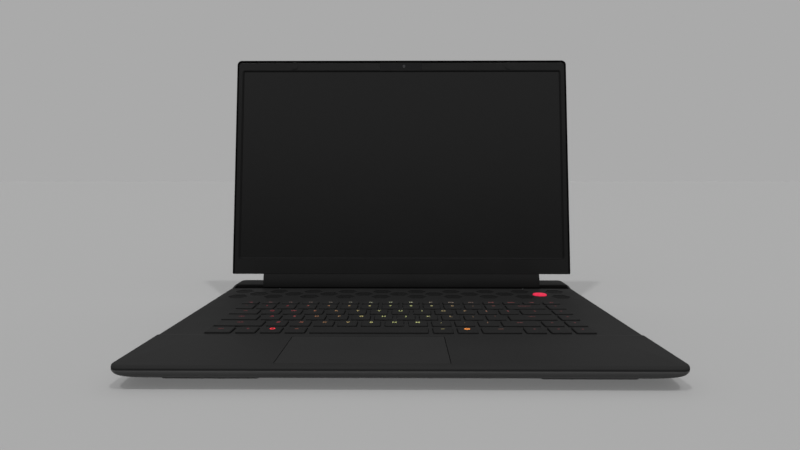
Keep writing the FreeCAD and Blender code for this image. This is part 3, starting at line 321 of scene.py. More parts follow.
def islands(node):
    """Box of each separate solid inside a CAD node."""
    mesh = frame["nodes"][node].data
    index = {}
    where = []
    for v in mesh.vertices:
        key = tuple(round(c, 6) for c in v.co)
        where.append(index.setdefault(key, len(index)))
    parent = list(range(len(index)))

    def root(a):
        while parent[a] != a:
            parent[a] = parent[parent[a]]
            a = parent[a]
        return a

    for e in mesh.edges:
        a, b = root(where[e.vertices[0]]), root(where[e.vertices[1]])
        if a != b:
            parent[a] = b
    boxes = {}
    for key, number in index.items():
        low, high = boxes.setdefault(root(number), ([9.0] * 3, [-9.0] * 3))
        for k in range(3):
            low[k] = min(low[k], key[k])
            high[k] = max(high[k], key[k])
    return sorted(boxes.values(), key=lambda b: (round(b[0][1], 3), b[0][0]))


def softplus(value, width):
    """Zero for low values, the value itself for high ones, with a soft bend between."""
    x = value / width
    return value if x > 30 else width * math.log1p(math.exp(x))


# ------------------------------------------------------------------ keyboard
KEY_NODES = [n for n in frame["nodes"] if n.startswith("key_") or n.startswith("keys_")]
KEY_NODES = sorted(n for n in KEY_NODES if n != "key_membrane")
KEY_BOXES = {n: islands(n) for n in KEY_NODES}
ALL_KEYS = [b for n in KEY_NODES for b in KEY_BOXES[n]]

# hollow cap from its inner ceiling, round the lower edge, to the dished top: (inset, rise) in mm
CAP_PROFILE = [(1.3, 2.1), (1.2, 0.0), (0.10, 0.0), (0.0, 0.6), (0.02, 2.72), (0.10, 3.02),
               (0.24, 3.20), (0.46, 3.31), (0.80, 3.35), (1.60, 3.33), (3.20, 3.29)]
for node in KEY_NODES:
    bm = bmesh.new()
    for low, high in KEY_BOXES[node]:
        rings = []
        for inset, rise in CAP_PROFILE:
            inset = inset * MM
            radius = max(0.4 * MM, 1.5 * MM - 0.4 * inset)
            rings.append(ring(bm, corner_outline(low[0] + inset, high[0] - inset, low[1] + inset,
                                                 high[1] - inset, [radius] * 4, 5),
                              low[2] + rise * MM))
        skin(bm, rings)
        close_ends(bm, rings)
    finish_mesh("cap_" + node, bm, M["key"], node, [node], sharp=40)


# ------------------------------------------------------------------ deck
case_low, case_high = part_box("top_case")
bottom_low, bottom_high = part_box("bottom_cover")
shelf_low, shelf_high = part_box("rear_shelf")
pad_low, pad_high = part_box("touchpad")
button_low, button_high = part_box("power_button")
PALM = case_high.z
HALF_WIDTH = bottom_high.x
SEAM_HEIGHT = 13.5
SEAM = SEAM_HEIGHT * MM
DECK_REAR = 102.8 * MM
STEP_FROM, STEP_TO, STEP_DROP = -79.0 * MM, -74.0 * MM, 0.7 * MM
DECK_LEVEL = PALM - STEP_DROP
CORNER = 7.0 * MM
REAR_CORNER = 1.6 * MM
EDGE_RISE = 0.55 * MM
FRONT_ROUND, SIDE_ROUND, REAR_ROUND = 4.25 * MM, 0.55 * MM, 1.3 * MM
GAP = 0.35 * MM
HOLE_DEPTH = 2.0  # mm, as hole() takes it


def deck_drop(y):
    """How far the deck behind the palm rest lies below it."""
    t = (y - STEP_FROM) / (STEP_TO - STEP_FROM)
    t = min(1.0, max(0.0, t))
    return STEP_DROP * t * t * (3 - 2 * t)


def case_outline(front, side, rear):
    """Outline of the deck, drawn in by so much at the front, the sides and the rear."""
    cx, cy = CORNER - side, CORNER - front
    small = max(0.4 * MM, REAR_CORNER - rear)
    return corner_outline(case_low.x + side, case_high.x - side, case_low.y + front,
                          DECK_REAR - rear, [(cx, cy), small, small, (cx, cy)], 12)


def hole(bm, outline_at, top, depth):
    """Wall of an opening with a small rounded lip; returns the edges of its rim."""
    rings = []
    for grow, drop in ((0.24, 0.0), (0.09, 0.05), (0.01, 0.16), (0.0, 0.30), (0.0, depth)):
        rings.append(ring(bm, outline_at(grow * MM), top - drop * MM))
    skin(bm, rings)
    return loop_edges(rings[0])


def opening_round(low, high, radius):
    """For hole(): the rounded opening that leaves the gap round a box, grown by g."""
    return lambda g: corner_outline(low[0] - GAP - g, high[0] + GAP + g, low[1] - GAP - g,
                                    high[1] + GAP + g, [radius + g] * 4, 4)


HEX_R = 9.7 * MM
HEX_PITCH = 36.3 * MM
HEX_SHIFT = 2.0 * MM
HEX_ROWS = ((85.85 * MM, 0.5, range(-5, 5)), (73.55 * MM, 0.0, range(-4, 4)),
            (60.95 * MM, 0.5, range(-5, 5)))
HEXES = [((k + shift) * HEX_PITCH - HEX_SHIFT, y) for y, shift, span in HEX_ROWS for k in span]


def hex_outline(x, y, radius):
    return [(x + radius * math.cos(math.radians(60 * k)), y + radius * math.sin(math.radians(60 * k)))
            for k in range(6)]


def circle_outline(x, y, radius, count=40):
    return [(x + radius * math.cos(2 * math.pi * k / count),
             y + radius * math.sin(2 * math.pi * k / count)) for k in range(count)]


button_mid = (button_low + button_high) / 2
BUTTON_HOLE = 7.35 * MM
bm = bmesh.new()
rims = [ring(bm, case_outline(0.0, 0.0, 1.2 * MM), SEAM),
        ring(bm, case_outline(0.0, 0.0, 0.0), SEAM + 0.2 * MM)]
for k in range(13):
    a = math.radians(90.0 * k / 12)
    inward = 1 - math.cos(a)
    rims.append(ring(bm, case_outline(FRONT_ROUND * inward, SIDE_ROUND * inward, REAR_ROUND * inward),
                     SEAM + EDGE_RISE + (PALM - SEAM - EDGE_RISE) * math.sin(a)))
skin(bm, rims)
fill = loop_edges(rims[-1])
for low, high in ALL_KEYS:
    fill += hole(bm, opening_round(low, high, 1.7 * MM), PALM, HOLE_DEPTH)
fill += hole(bm, opening_round(pad_low, pad_high, 1.3 * MM), PALM, HOLE_DEPTH)
fill += hole(bm, lambda g: circle_outline(button_mid.x, button_mid.y, BUTTON_HOLE + g),
             PALM, HOLE_DEPTH)
for x, y in HEXES:
    fill += hole(bm, lambda g: hex_outline(x, y, HEX_R + g), PALM, 0.5)
bmesh.ops.triangle_fill(bm, use_beauty=True, use_dissolve=False, edges=fill)
for k in range(7):
    y = STEP_FROM + (STEP_TO - STEP_FROM) * k / 6.0
    bmesh.ops.bisect_plane(bm, geom=bm.verts[:] + bm.edges[:] + bm.faces[:], plane_co=(0, y, 0),
                           plane_no=(0, 1, 0))
for v in bm.verts:
    share = min(1.0, max(0.0, (v.co.z - SEAM) / (PALM - 1.5 * MM - SEAM)))
    v.co.z -= deck_drop(v.co.y) * share
finish_mesh("deck", bm, M["deck"], "base", ["top_case"], sharp=13)


# perforated floors of the hexagons, over a dark backing
def flat_curve(name, outlines, z, thick, mat):
    """Flat plate from closed outlines; inner outlines become holes."""
    data = bpy.data.curves.new(name + "_outline", "CURVE")
    data.dimensions = "2D"
    data.fill_mode = "BOTH"
    data.extrude = thick / 2
    for points in outlines:
        spline = data.splines.new("POLY")
        spline.points.add(len(points) - 1)
        for point, (x, y) in zip(spline.points, points):
            point.co = (x, y, 0, 1)
        spline.use_cyclic_u = True
    temp = bpy.data.objects.new(name + "_temp", data)
    scene.collection.objects.link(temp)
    bpy.context.view_layer.update()
    mesh = bpy.data.meshes.new_from_object(temp.evaluated_get(bpy.context.evaluated_depsgraph_get()))
    bpy.data.objects.remove(temp)
    bm = bmesh.new()
    bm.from_mesh(mesh)
    bpy.data.meshes.remove(mesh)
    bmesh.ops.translate(bm, verts=bm.verts, vec=(0, 0, z - thick / 2))
    return finish_mesh(name, bm, mat, "base", sharp=20, fix=False)


outlines = []
PERF_PITCH, PERF_R, PERF_EDGE = 1.75 * MM, 0.52 * MM, 0.8 * MM
ROW_RATIO, SLANT = 0.866, 0.577  # half the root of three, and one over the root of three
for x, y in HEXES:
    outlines.append(hex_outline(x, y, HEX_R - 0.02 * MM))
    for j in range(-5, 6):
        for i in range(-6, 7):
            px = (i + 0.5 * (j % 2)) * PERF_PITCH
            py = j * PERF_PITCH * ROW_RATIO
            inside_flat = abs(py) + PERF_EDGE < HEX_R * ROW_RATIO
            if inside_flat and abs(px) + abs(py) * SLANT + PERF_EDGE < HEX_R:
                outlines.append(circle_outline(x + px, y + py, PERF_R, 8))
flat_curve("vent_grilles", outlines, DECK_LEVEL - 0.35 * MM, 0.4 * MM, M["grille"])
BACKING_HALF, BACKING_FRONT, BACKING_REAR = 177 * MM, 51.5 * MM, 95.5 * MM
flat_curve("vent_backing", [corner_outline(-BACKING_HALF, BACKING_HALF, BACKING_FRONT, BACKING_REAR,
                                           [2 * MM] * 4, 4),
                            circle_outline(button_mid.x, button_mid.y, 9.2 * MM)],
           DECK_LEVEL - 1.3 * MM, 0.3 * MM, M["dark"])

# floor of the hinge channel behind the deck
bm = bmesh.new()
profile = [(DECK_REAR - 2.0 * MM, 11.0), (116.0 * MM, 11.0), (116.0 * MM, 12.2),
           (DECK_REAR + 0.5 * MM, 12.2), (DECK_REAR - 0.05 * MM, 12.7), (DECK_REAR - 0.05 * MM, 14.2),
           (DECK_REAR - 2.0 * MM, 14.2)]
CHANNEL_HALF = 182.1 * MM
prism(bm, [[(x, y, z * MM) for y, z in profile] for x in (-CHANNEL_HALF, CHANNEL_HALF)])
finish_mesh("hinge_channel", bm, M["dark"], "base")

# low cheeks joining the deck to the shelf beside the channel
bm = bmesh.new()
for side in (-1, 1):
    profile = [(DECK_REAR - 1.3 * MM, 13.6), (114.5 * MM, 13.6), (114.5 * MM, 16.4), (113.0 * MM, 16.6),
               (DECK_REAR + 3.0 * MM, 15.5), (DECK_REAR - 1.3 * MM, 14.6)]
    sides = (side * (HALF_WIDTH - 0.1 * MM), side * (HALF_WIDTH - 2.2 * MM))
    prism(bm, [[(x, y, z * MM) for y, z in profile] for x in sides])
finish_mesh("channel_cheeks", bm, M["shelf"], "base", sharp=50)


# ------------------------------------------------------------------ lower shell
# heights in mm where each wall turns under, how steep it then is, and how soft the turn is
FRONT_TURN, FRONT_SLOPE, FRONT_SOFT = 8.9, 0.372, 2.0
SIDE_TURN, SIDE_SLOPE, SIDE_SOFT = 5.7, 0.4615, 0.8
REAR_TURN, REAR_SOFT = 3.3, 0.25
CORNER_FRONT, TAPER_ACROSS, TAPER_ALONG = 7.0, 0.42, 0.8
CORNER_BACK, SPREAD_BACK, LEAST_BACK = 8.0, 0.2, 2.0


def shell_outline(z, inward):
    """Outline of the lower shell at a height, drawn in by so much; both in mm."""
    front = softplus((FRONT_TURN - z) / FRONT_SLOPE, FRONT_SOFT) + inward
    side = softplus((SIDE_TURN - z) / SIDE_SLOPE, SIDE_SOFT) + inward
    rear = softplus(REAR_TURN - z, REAR_SOFT) + inward
    depth = SEAM_HEIGHT - z
    corner = ((CORNER_FRONT + TAPER_ACROSS * depth ** 2 - inward) * MM,
              (CORNER_FRONT + TAPER_ALONG * depth - inward) * MM)
    back = max(LEAST_BACK, CORNER_BACK + SPREAD_BACK * side - inward) * MM
    return corner_outline(-HALF_WIDTH + side * MM, HALF_WIDTH - side * MM,
                          bottom_low.y + front * MM, bottom_high.y - rear * MM,
                          [corner, back, back, corner], 12)


# (inward, height) pairs in mm: from inside the wall over the lip, and under the bottom edge
LIP = ((1.9, 13.4), (1.1, 13.46), (0.8, 13.44), (0.42, 13.3), (0.18, 13.0), (0.05, 12.6))
WALL_HEIGHTS = (12.2, 11.4, 10.8, 10.3, 9.9, 9.5, 9.1, 8.7, 8.3, 7.8, 7.2,
                6.4, 5.9, 5.5, 5.1, 4.6, 4.0, 3.4, 2.8, 2.4, 2.1)
bm = bmesh.new()
rings = [ring(bm, shell_outline(SEAM_HEIGHT, inward), z * MM) for inward, z in LIP]
rings += [ring(bm, shell_outline(z, 0.0), z * MM) for z in WALL_HEIGHTS]
rings.append(ring(bm, shell_outline(1.85, 0.15), 1.85 * MM))
rings.append(ring(bm, shell_outline(1.7, 0.7), 1.68 * MM))
rings.append(ring(bm, shell_outline(1.6, 1.8), 1.6 * MM))
skin(bm, rings)
bm.faces.new(rings[-1])
inner = [rings[0]]
for z, inward in ((7.0, 1.9), (3.4, 2.4)):
    inner.append(ring(bm, shell_outline(z, inward), max(z, 3.0) * MM))
skin(bm, inner)
bm.faces.new(inner[-1])
shell = finish_mesh("lower_shell", bm, M["lower"], "base", ["bottom_cover"], sharp=24)

# openings in mm: vents in the rear wall, slots under the fans, and one for each port
REAR_WALL, LEFT_WALL, RIGHT_WALL = (137, 143), (-187, -180), (180, 187)
PORT_GAP = 0.15
VENT_COUNT, VENT_START, VENT_PITCH, VENT_HALF = 16, 76, 4.6, 1.6
FAN_X, FAN_Y = 112, 68
SLOT_COUNT, SLOT_PITCH, SLOT_ASIDE, SLOT_LONG, SLOT_WIDE = 9, 6.2, 13, 11, 1.4
cutters = []
for side in (-1, 1):
    for k in range(VENT_COUNT):
        x = side * (VENT_START + VENT_PITCH * k)
        cutters.append((x - VENT_HALF, x + VENT_HALF, *REAR_WALL, 4.6, 11.0))
    for k in range(SLOT_COUNT):
        for part in (-1, 1):
            x = side * FAN_X + part * SLOT_ASIDE
            y = FAN_Y + SLOT_PITCH * (k - 4)
            cutters.append((x - SLOT_LONG, x + SLOT_LONG, y - SLOT_WIDE, y + SLOT_WIDE, 0.5, 4.0))


def port_cut(low, high, x_span=None, y_span=None):
    """Box that frees a port, with the span of the wall that it goes through."""
    x_span = x_span or (low[0] / MM - PORT_GAP, high[0] / MM + PORT_GAP)
    y_span = y_span or (low[1] / MM - PORT_GAP, high[1] / MM + PORT_GAP)
    return (*x_span, *y_span, low[2] / MM - PORT_GAP, high[2] / MM + PORT_GAP)


for low, high in [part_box("power_inlet"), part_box("video_port")] + islands("small_ports"):
    cutters.append(port_cut(low, high, y_span=REAR_WALL))
for node, wall in (("network_port", LEFT_WALL), ("audio_jack", LEFT_WALL), ("large_ports", RIGHT_WALL)):
    for low, high in islands(node):
        cutters.append(port_cut(low, high, x_span=wall))
bm = bmesh.new()
for x0, x1, y0, y1, z0, z1 in cutters:
    centre = Matrix.Translation(((x0 + x1) / 2 * MM, (y0 + y1) / 2 * MM, (z0 + z1) / 2 * MM))
    size = Matrix.Diagonal(((x1 - x0) * MM, (y1 - y0) * MM, (z1 - z0) * MM, 1.0))
    bmesh.ops.create_cube(bm, size=1.0, matrix=centre @ size)
for low, high in islands("bottom_screws"):
    centre = Matrix.Translation(((low[0] + high[0]) / 2, (low[1] + high[1]) / 2, 2.2 * MM))
    bmesh.ops.create_cone(bm, cap_ends=True, segments=24, radius1=3.1 * MM, radius2=3.1 * MM,
                          depth=4.0 * MM, matrix=centre)
mesh = bpy.data.meshes.new("shell_cutters")
bm.to_mesh(mesh)
bm.free()
cutter = bpy.data.objects.new("shell_cutters", mesh)
scene.collection.objects.link(cutter)


def apply_modifiers(obj):
    """Replaces an object's mesh by what its modifiers make of it."""
    bpy.context.view_layer.update()
    graph = bpy.context.evaluated_depsgraph_get()
    new = bpy.data.meshes.new_from_object(obj.evaluated_get(graph))
    obj.modifiers.clear()
    old = obj.data
    obj.data = new
    bpy.data.meshes.remove(old)


modifier = shell.modifiers.new("openings", "BOOLEAN")
modifier.operation = "DIFFERENCE"
modifier.solver = "EXACT"
modifier.object = cutter
apply_modifiers(shell)
bpy.data.objects.remove(cutter)

# ------------------------------------------------------------------ rear shelf
RECESS_HALF, RECESS_DEPTH = 152.5 * MM, 2.0 * MM
NOTCH_IN, NOTCH_OUT, NOTCH_REAR = 126.0 * MM, 136.0 * MM, 118.5 * MM
SHELF_WALL = 1.9 * MM
SHELF_FRONT, SHELF_SIDE, SHELF_REAR = 0.9 * MM, 2.3 * MM, 1.6 * MM


def shelf_outline(front, side, rear):
    """Outline of the shelf with its recess for the hinge cover and two bracket notches."""
    y0 = shelf_low.y + front
    y1 = y0 + RECESS_DEPTH
    y2 = NOTCH_REAR + front
    half = shelf_high.x - side
    right = [(NOTCH_IN, y1), (NOTCH_IN, y2), (NOTCH_OUT, y2), (NOTCH_OUT, y1),
             (RECESS_HALF, y1), (RECESS_HALF, y0)]
    tail = corner_outline(-half, half, y0, shelf_high.y - rear,
                          [0.8 * MM, 4.0 * MM, 4.0 * MM, 0.8 * MM], 9)
    left = [(-x, y) for x, y in reversed(right)]
    return right + tail + left


bm = bmesh.new()
rings = [ring(bm, shelf_outline(0.0, 2.4 * MM, 2.4 * MM), SEAM - 1.3 * MM),
         ring(bm, shelf_outline(0.0, 2.4 * MM, 2.4 * MM), SEAM),
         ring(bm, shelf_outline(0.0, 0.3 * MM, 0.3 * MM), SEAM + 0.02 * MM),
         ring(bm, shelf_outline(0.0, 0.0, 0.0), SEAM + 0.3 * MM)]
for k in range(9):
    a = math.radians(90.0 * k / 8)
    inward = 1 - math.cos(a)
    rings.append(ring(bm, shelf_outline(SHELF_FRONT * inward, SHELF_SIDE * inward, SHELF_REAR * inward),
                      SEAM + SHELF_WALL + (shelf_high.z - SEAM - SHELF_WALL) * math.sin(a)))
skin(bm, rings)
bmesh.ops.triangle_fill(bm, use_beauty=True, use_dissolve=False, edges=loop_edges(rings[-1]))
finish_mesh("shelf", bm, M["shelf"], "base", ["rear_shelf"], sharp=24)

# ------------------------------------------------------------------ touchpad
bm = bmesh.new()
rings = []
for inset, drop in ((0.1, 2.2), (0.0, 0.5), (0.03, 0.2), (0.12, 0.06), (0.3, 0.0)):
    rings.append(ring(bm, corner_outline(pad_low.x + inset * MM, pad_high.x - inset * MM,
                                         pad_low.y + inset * MM, pad_high.y - inset * MM,
                                         [1.0 * MM] * 4, 5), pad_high.z - drop * MM))
skin(bm, rings)
close_ends(bm, rings)
finish_mesh("touch_plate", bm, M["pad"], "touchpad", ["touchpad"], sharp=13)

# ------------------------------------------------------------------ power button
bm = bmesh.new()
BUTTON_R = 7.0 * MM
rings = []
for share, z in ((1.0, 13.4), (1.0, 15.6), (0.97, 16.0), (0.9, 16.25), (0.78, 16.42),
                 (0.55, 16.55), (0.3, 16.62), (0.1, 16.64)):
    rings.append(ring(bm, circle_outline(button_mid.x, button_mid.y, share * BUTTON_R), z * MM))
skin(bm, rings)
close_ends(bm, rings)
finish_mesh("button_cap", bm, M["button"], "power_button", ["power_button"], sharp=40)

# ------------------------------------------------------------------ lid
lid_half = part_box("lid_cover")[1].x + 0.55 * MM
LID_LOW, LID_HIGH = 10.45 * MM, 249.6 * MM


def lid_outline(inset):
    """Outline of the lid, in metres, drawn in by so many mm."""
    t = max(0.3, 5.0 - inset) * MM
    b = max(0.3, 1.2 - 0.3 * inset) * MM
    inset = inset * MM
    return corner_outline(-lid_half + inset, lid_half - inset, LID_LOW + inset, LID_HIGH - inset,
                          [b, t, t, b], 8)


bm = bmesh.new()
rings = [ring(bm, lid_outline(1.6), -2.15 * MM, "xz"), ring(bm, lid_outline(0.1), -2.15 * MM, "xz"),
         ring(bm, lid_outline(0.0), -2.0 * MM, "xz")]
for inset, v in ((0.0, 1.3), (0.08, 2.0), (0.3, 2.6), (0.75, 3.05), (1.3, 3.24), (2.2, 3.3)):
    rings.append(ring(bm, lid_outline(inset), v * MM, "xz"))
skin(bm, rings)
bm.faces.new(rings[-1])
inner = [rings[0], ring(bm, lid_outline(1.6), 2.1 * MM, "xz")]
skin(bm, inner)
bm.faces.new(inner[-1])
finish_mesh("lid_back", bm, M["lid"], "lid", ["lid_cover"], sharp=30, matrix=LID_FRAME)

SCREEN_HALF, SCREEN_LOW, SCREEN_HIGH = 176.5 * MM, 28.25 * MM, 236.55 * MM
WINDOW = [length * MM for length in (-24.0, 22.5, 238.15, 246.85)]


def bezel_outline(inset):
    side = (2.1 + inset) * MM
    t = (3.3 - inset) * MM
    return corner_outline(-lid_half + side, lid_half - side, LID_LOW + (0.1 + inset) * MM,
                          LID_HIGH - side - 0.7 * MM, [0.6 * MM, t, t, 0.6 * MM], 8)


def opening_outline(grow):
    r = max(0.3, 1.0 + grow) * MM
    g = grow * MM
    return corner_outline(-SCREEN_HALF - g, SCREEN_HALF + g, SCREEN_LOW - g, SCREEN_HIGH + g,
                          [r] * 4, 4)


def window_outline(grow):
    g = grow * MM
    return corner_outline(WINDOW[0] - g, WINDOW[1] + g, WINDOW[2] - g, WINDOW[3] + g,
                          [(0.8 + grow) * MM] * 4, 4)


bm = bmesh.new()
rings = [ring(bm, bezel_outline(0.0), -2.3 * MM, "xz"), ring(bm, bezel_outline(0.0), -2.85 * MM, "xz"),
         ring(bm, bezel_outline(0.07), -2.95 * MM, "xz"), ring(bm, bezel_outline(0.25), -3.0 * MM, "xz")]
skin(bm, rings)
fill = loop_edges(rings[-1])
inside = [ring(bm, opening_outline(2.1), -3.0 * MM, "xz"),
          ring(bm, opening_outline(2.0), -2.96 * MM, "xz"),
          ring(bm, opening_outline(1.95), -2.4 * MM, "xz")]
skin(bm, inside)
fill += loop_edges(inside[0])
pocket = [ring(bm, window_outline(0.12), -3.0 * MM, "xz"),
          ring(bm, window_outline(0.0), -2.92 * MM, "xz"),
          ring(bm, window_outline(0.0), -2.3 * MM, "xz")]
skin(bm, pocket)
fill += loop_edges(pocket[0])
bmesh.ops.triangle_fill(bm, use_beauty=True, use_dissolve=False, edges=fill)
finish_mesh("bezel", bm, M["bezel"], "lid", ["screen_bezel"], sharp=13, matrix=LID_FRAME)


def strip(name, outline_at, profile, mat):
    """Closed strip running round the lid; profile is (grow, v) in mm."""
    bm = bmesh.new()
    rings = [ring(bm, outline_at(grow), v * MM, "xz") for grow, v in profile]
    skin(bm, rings + rings[:1])
    return finish_mesh(name, bm, mat, "lid", matrix=LID_FRAME)


strip("screen_seal", opening_outline,
      [(1.98, -2.35), (1.98, -2.86), (1.8, -2.93), (1.5, -2.94), (0.1, -2.5), (0.0, -2.42), (0.0, -2.22)],
      M["seal"])
# very dark strip round the front edge of the lid, between its back and the bezel
strip("lid_gasket", lid_outline,
      [(0.05, -2.2), (0.05, -2.6), (0.3, -2.8), (0.9, -2.88), (2.4, -2.86), (2.9, -2.8), (2.9, -2.2)],
      M["dark_rim"])

bm = bmesh.new()
rings = [ring(bm, window_outline(-0.05), -2.45 * MM, "xz"),
         ring(bm, window_outline(-0.05), -2.9 * MM, "xz"),
         ring(bm, window_outline(-0.15), -2.98 * MM, "xz")]
skin(bm, rings)
bm.faces.new(rings[-1])
bm.faces.new(rings[0])
finish_mesh("camera_window", bm, M["window"], "lid", ["webcam_window"], matrix=LID_FRAME)

LENS_X, LED_X, LENS_HEIGHT = 2.9 * MM, 11.9 * MM, 242.95 * MM


def turned(name, x, w, profile, mat):
    """Small round piece about an axis across the lid; profile is (radius, v) in mm."""
    bm = bmesh.new()
    rings = [ring(bm, circle_outline(x, w, r * MM, 28), v * MM, "xz") for r, v in profile]
    skin(bm, rings)
    bm.faces.new(rings[-1])
    bm.faces.new(rings[0])
    return finish_mesh(name, bm, mat, "lid", matrix=LID_FRAME)


turned("camera_ring", LENS_X, LENS_HEIGHT, [(1.95, -2.9), (1.95, -3.06), (1.7, -3.1), (1.55, -3.02)],
       M["bezel"])
turned("camera_lens", LENS_X, LENS_HEIGHT, [(1.5, -2.95), (1.4, -3.03), (0.9, -3.08), (0.4, -3.1)],
       M["lens"])
turned("camera_led", LED_X, LENS_HEIGHT, [(0.5, -2.95), (0.45, -3.02), (0.2, -3.04)],
       M["bezel"])


# ------------------------------------------------------------------ hinge cover
BARREL_R, BARREL_CORE = 5.6, 4.3
BARREL_TOP = 10.45
COVER_HALF, SLOT_IN, SLOT_OUT = 150.5, 127.0, 135.0


def barrel(inset=0.0):
    """Outline of the hinge cover in (v, w), front top, round the underside, to the rear top."""
    radius = BARREL_R - inset
    v0, v1 = -3.0 + inset, 3.3 - inset
    start = math.radians(223.6)
    end = math.atan2(-math.sqrt(radius ** 2 - v1 ** 2), v1) + 2 * math.pi
    points = [(v0, BARREL_TOP)]
    for v, w in ((-3.55, 8.0), (-4.0, 5.6), (-4.3, 3.4), (-4.42, 1.2), (-4.4, -1.0), (-4.3, -2.6)):
        points.append((v + inset, w))
    for k in range(25):
        a = start + (end - start) * k / 24
        points.append((radius * math.cos(a), radius * math.sin(a)))
    points.append((v1, BARREL_TOP))
    return points


def front_skin():
    """Front part only, where the bracket passes behind."""
    outer = barrel()[:-1]
    keep = [(v, w) for v, w in outer if w >= 0 or math.degrees(math.atan2(w, v)) <= -116]
    scale = BARREL_CORE / BARREL_R
    back = [(v * scale, w * scale) for v, w in reversed(keep[1:])]
    return keep + back + [(-1.7, BARREL_TOP)]


def cover_section(bm, sections):
    """Stretch of the cover through (x, outline) pairs in mm."""
    prism(bm, [[(x * MM, v * MM, w * MM) for v, w in outline] for x, outline in sections])


bm = bmesh.new()
outer_end = [(-COVER_HALF, barrel(0.5)), (-COVER_HALF + 0.15, barrel(0.15)), (-COVER_HALF + 0.5, barrel())]
cover_section(bm, outer_end + [(-SLOT_OUT, barrel())])
cover_section(bm, [(-SLOT_IN, barrel()), (SLOT_IN, barrel())])
cover_section(bm, [(SLOT_OUT, barrel())] + [(-x, outline) for x, outline in reversed(outer_end)])
for x0, x1 in ((-SLOT_OUT, -SLOT_IN), (SLOT_IN, SLOT_OUT)):
    cover_section(bm, [(x0, front_skin()), (x1, front_skin())])
finish_mesh("hinge_barrel", bm, M["hinge"], "lid", ["hinge_cover"], sharp=22,
            matrix=LID_FRAME)

# ------------------------------------------------------------------ key legends
SHAPES = {
    "up": [[(-1.1, -0.7), (1.1, -0.7), (0, 0.9)]],
    "down": [[(-1.1, 0.7), (0, -0.9), (1.1, 0.7)]],
    "left": [[(0.7, -1.1), (0.7, 1.1), (-0.9, 0)]],
    "right": [[(-0.7, 1.1), (-0.7, -1.1), (0.9, 0)]],
}


def legend_curve(text, size):
    """Legend as a flat filled curve around the origin, in metres."""
    if text in SHAPES or text.startswith("icon"):
        data = bpy.data.curves.new("legend", "CURVE")
        data.dimensions = "2D"
        data.fill_mode = "BOTH"
        if text == "icon_hex":
            outlines = [hex_outline(0, 0, 2.1), circle_outline(0, 0, 1.0, 20)]
        elif text == "icon_menu":
            outlines = [circle_outline(0, 0, radius, 20) for radius in (2.0, 1.2, 0.6)]
        elif text == "icon_speaker":
            outlines = [[(-1.2, -0.5), (-0.6, -0.5), (0.2, -1.1), (0.2, 1.1), (-0.6, 0.5), (-1.2, 0.5)]]
        elif text == "icon_mic":
            outlines = [circle_outline(0, 0.4, 0.7, 20),
                        [(-0.2, -1.3), (0.2, -1.3), (0.2, -0.5), (-0.2, -0.5)]]
        else:
            outlines = SHAPES[text]
        scale = size / 3.0
        for points in outlines:
            spline = data.splines.new("POLY")
            spline.points.add(len(points) - 1)
            for point, (x, y) in zip(spline.points, points):
                point.co = (x * MM * scale, y * MM * scale, 0, 1)
            spline.use_cyclic_u = True
        return data
    data = bpy.data.curves.new("legend", "FONT")
    data.body = text
    data.size = size * MM
    data.align_x = "CENTER"
    data.align_y = "CENTER"
    data.offset = 0.09 * MM
    return data


def legend_mesh(text, size):
    data = legend_curve(text, size)
    temp = bpy.data.objects.new("legend_temp", data)
    scene.collection.objects.link(temp)
    bpy.context.view_layer.update()
    mesh = bpy.data.meshes.new_from_object(temp.evaluated_get(bpy.context.evaluated_depsgraph_get()))
    bpy.data.objects.remove(temp)
    return mesh


LEGENDS = {
    "keys_number_row": list("`1234567890-="),
    "keys_upper_row": ["tab"] + list("QWERTYUIOP[]\\"),
    "keys_home_row": ["caps"] + list("ASDFGHJKL;'"),
    "keys_lower_row": list("ZXCVBNM,./"),
    "keys_function_row": ["F%d" % k for k in range(1, 13)] + ["home", "end", "del"],
    "keys_modifier_row": ["ctrl", "fn", "icon_hex", "alt", "alt", "icon_menu", "ctrl"],
    "keys_media_column": ["icon_speaker", "icon_speaker", "icon_speaker", "icon_mic"],
    "key_escape": ["esc"],
    "key_backspace": ["backspace"],
    "key_enter": ["enter"],
    "key_shift_left": ["shift"],
    "key_shift_right": ["shift"],
    "key_arrow_up": ["up"],
    "key_arrow_down": ["down"],
    "key_arrow_left": ["left"],
    "key_arrow_right": ["right"],
}


def legend_size(text):
    if text.startswith("F") and len(text) > 1:
        return 3.4
    if text in SHAPES or text.startswith("icon"):
        return 3.4
    return 4.9 if len(text) == 1 else 2.9


LEGEND_SHIFT = 1.6 * MM
SHORT_ROWS = ("keys_function_row", "key_escape")
LEGEND_KINDS = ("legend", "legend_pale", "legend_dim", "legend_bright")


def legend_kind(node, text):
    if text in ("icon_hex", "icon_menu"):
        return "legend_bright"
    if node in SHORT_ROWS:
        return "legend_pale"
    return "legend_dim" if len(text) > 1 else "legend"


for node, words in LEGENDS.items():
    groups = {}
    for text, (low, high) in zip(words, KEY_BOXES[node]):
        mesh = legend_mesh(text, legend_size(text))
        x = (low[0] + high[0]) / 2
        y = (low[1] + high[1]) / 2
        if node not in SHORT_ROWS:
            y += LEGEND_SHIFT
        mesh.transform(Matrix.Translation((x, y, high[2] + 0.02 * MM)))
        kind = legend_kind(node, text)
        if kind not in groups:
            groups[kind] = bmesh.new()
        groups[kind].from_mesh(mesh)
        bpy.data.meshes.remove(mesh)
    for kind in LEGEND_KINDS:
        if kind in groups:
            finish_mesh("%s_%s" % (kind, node), groups[kind], M[kind], node, fix=False)

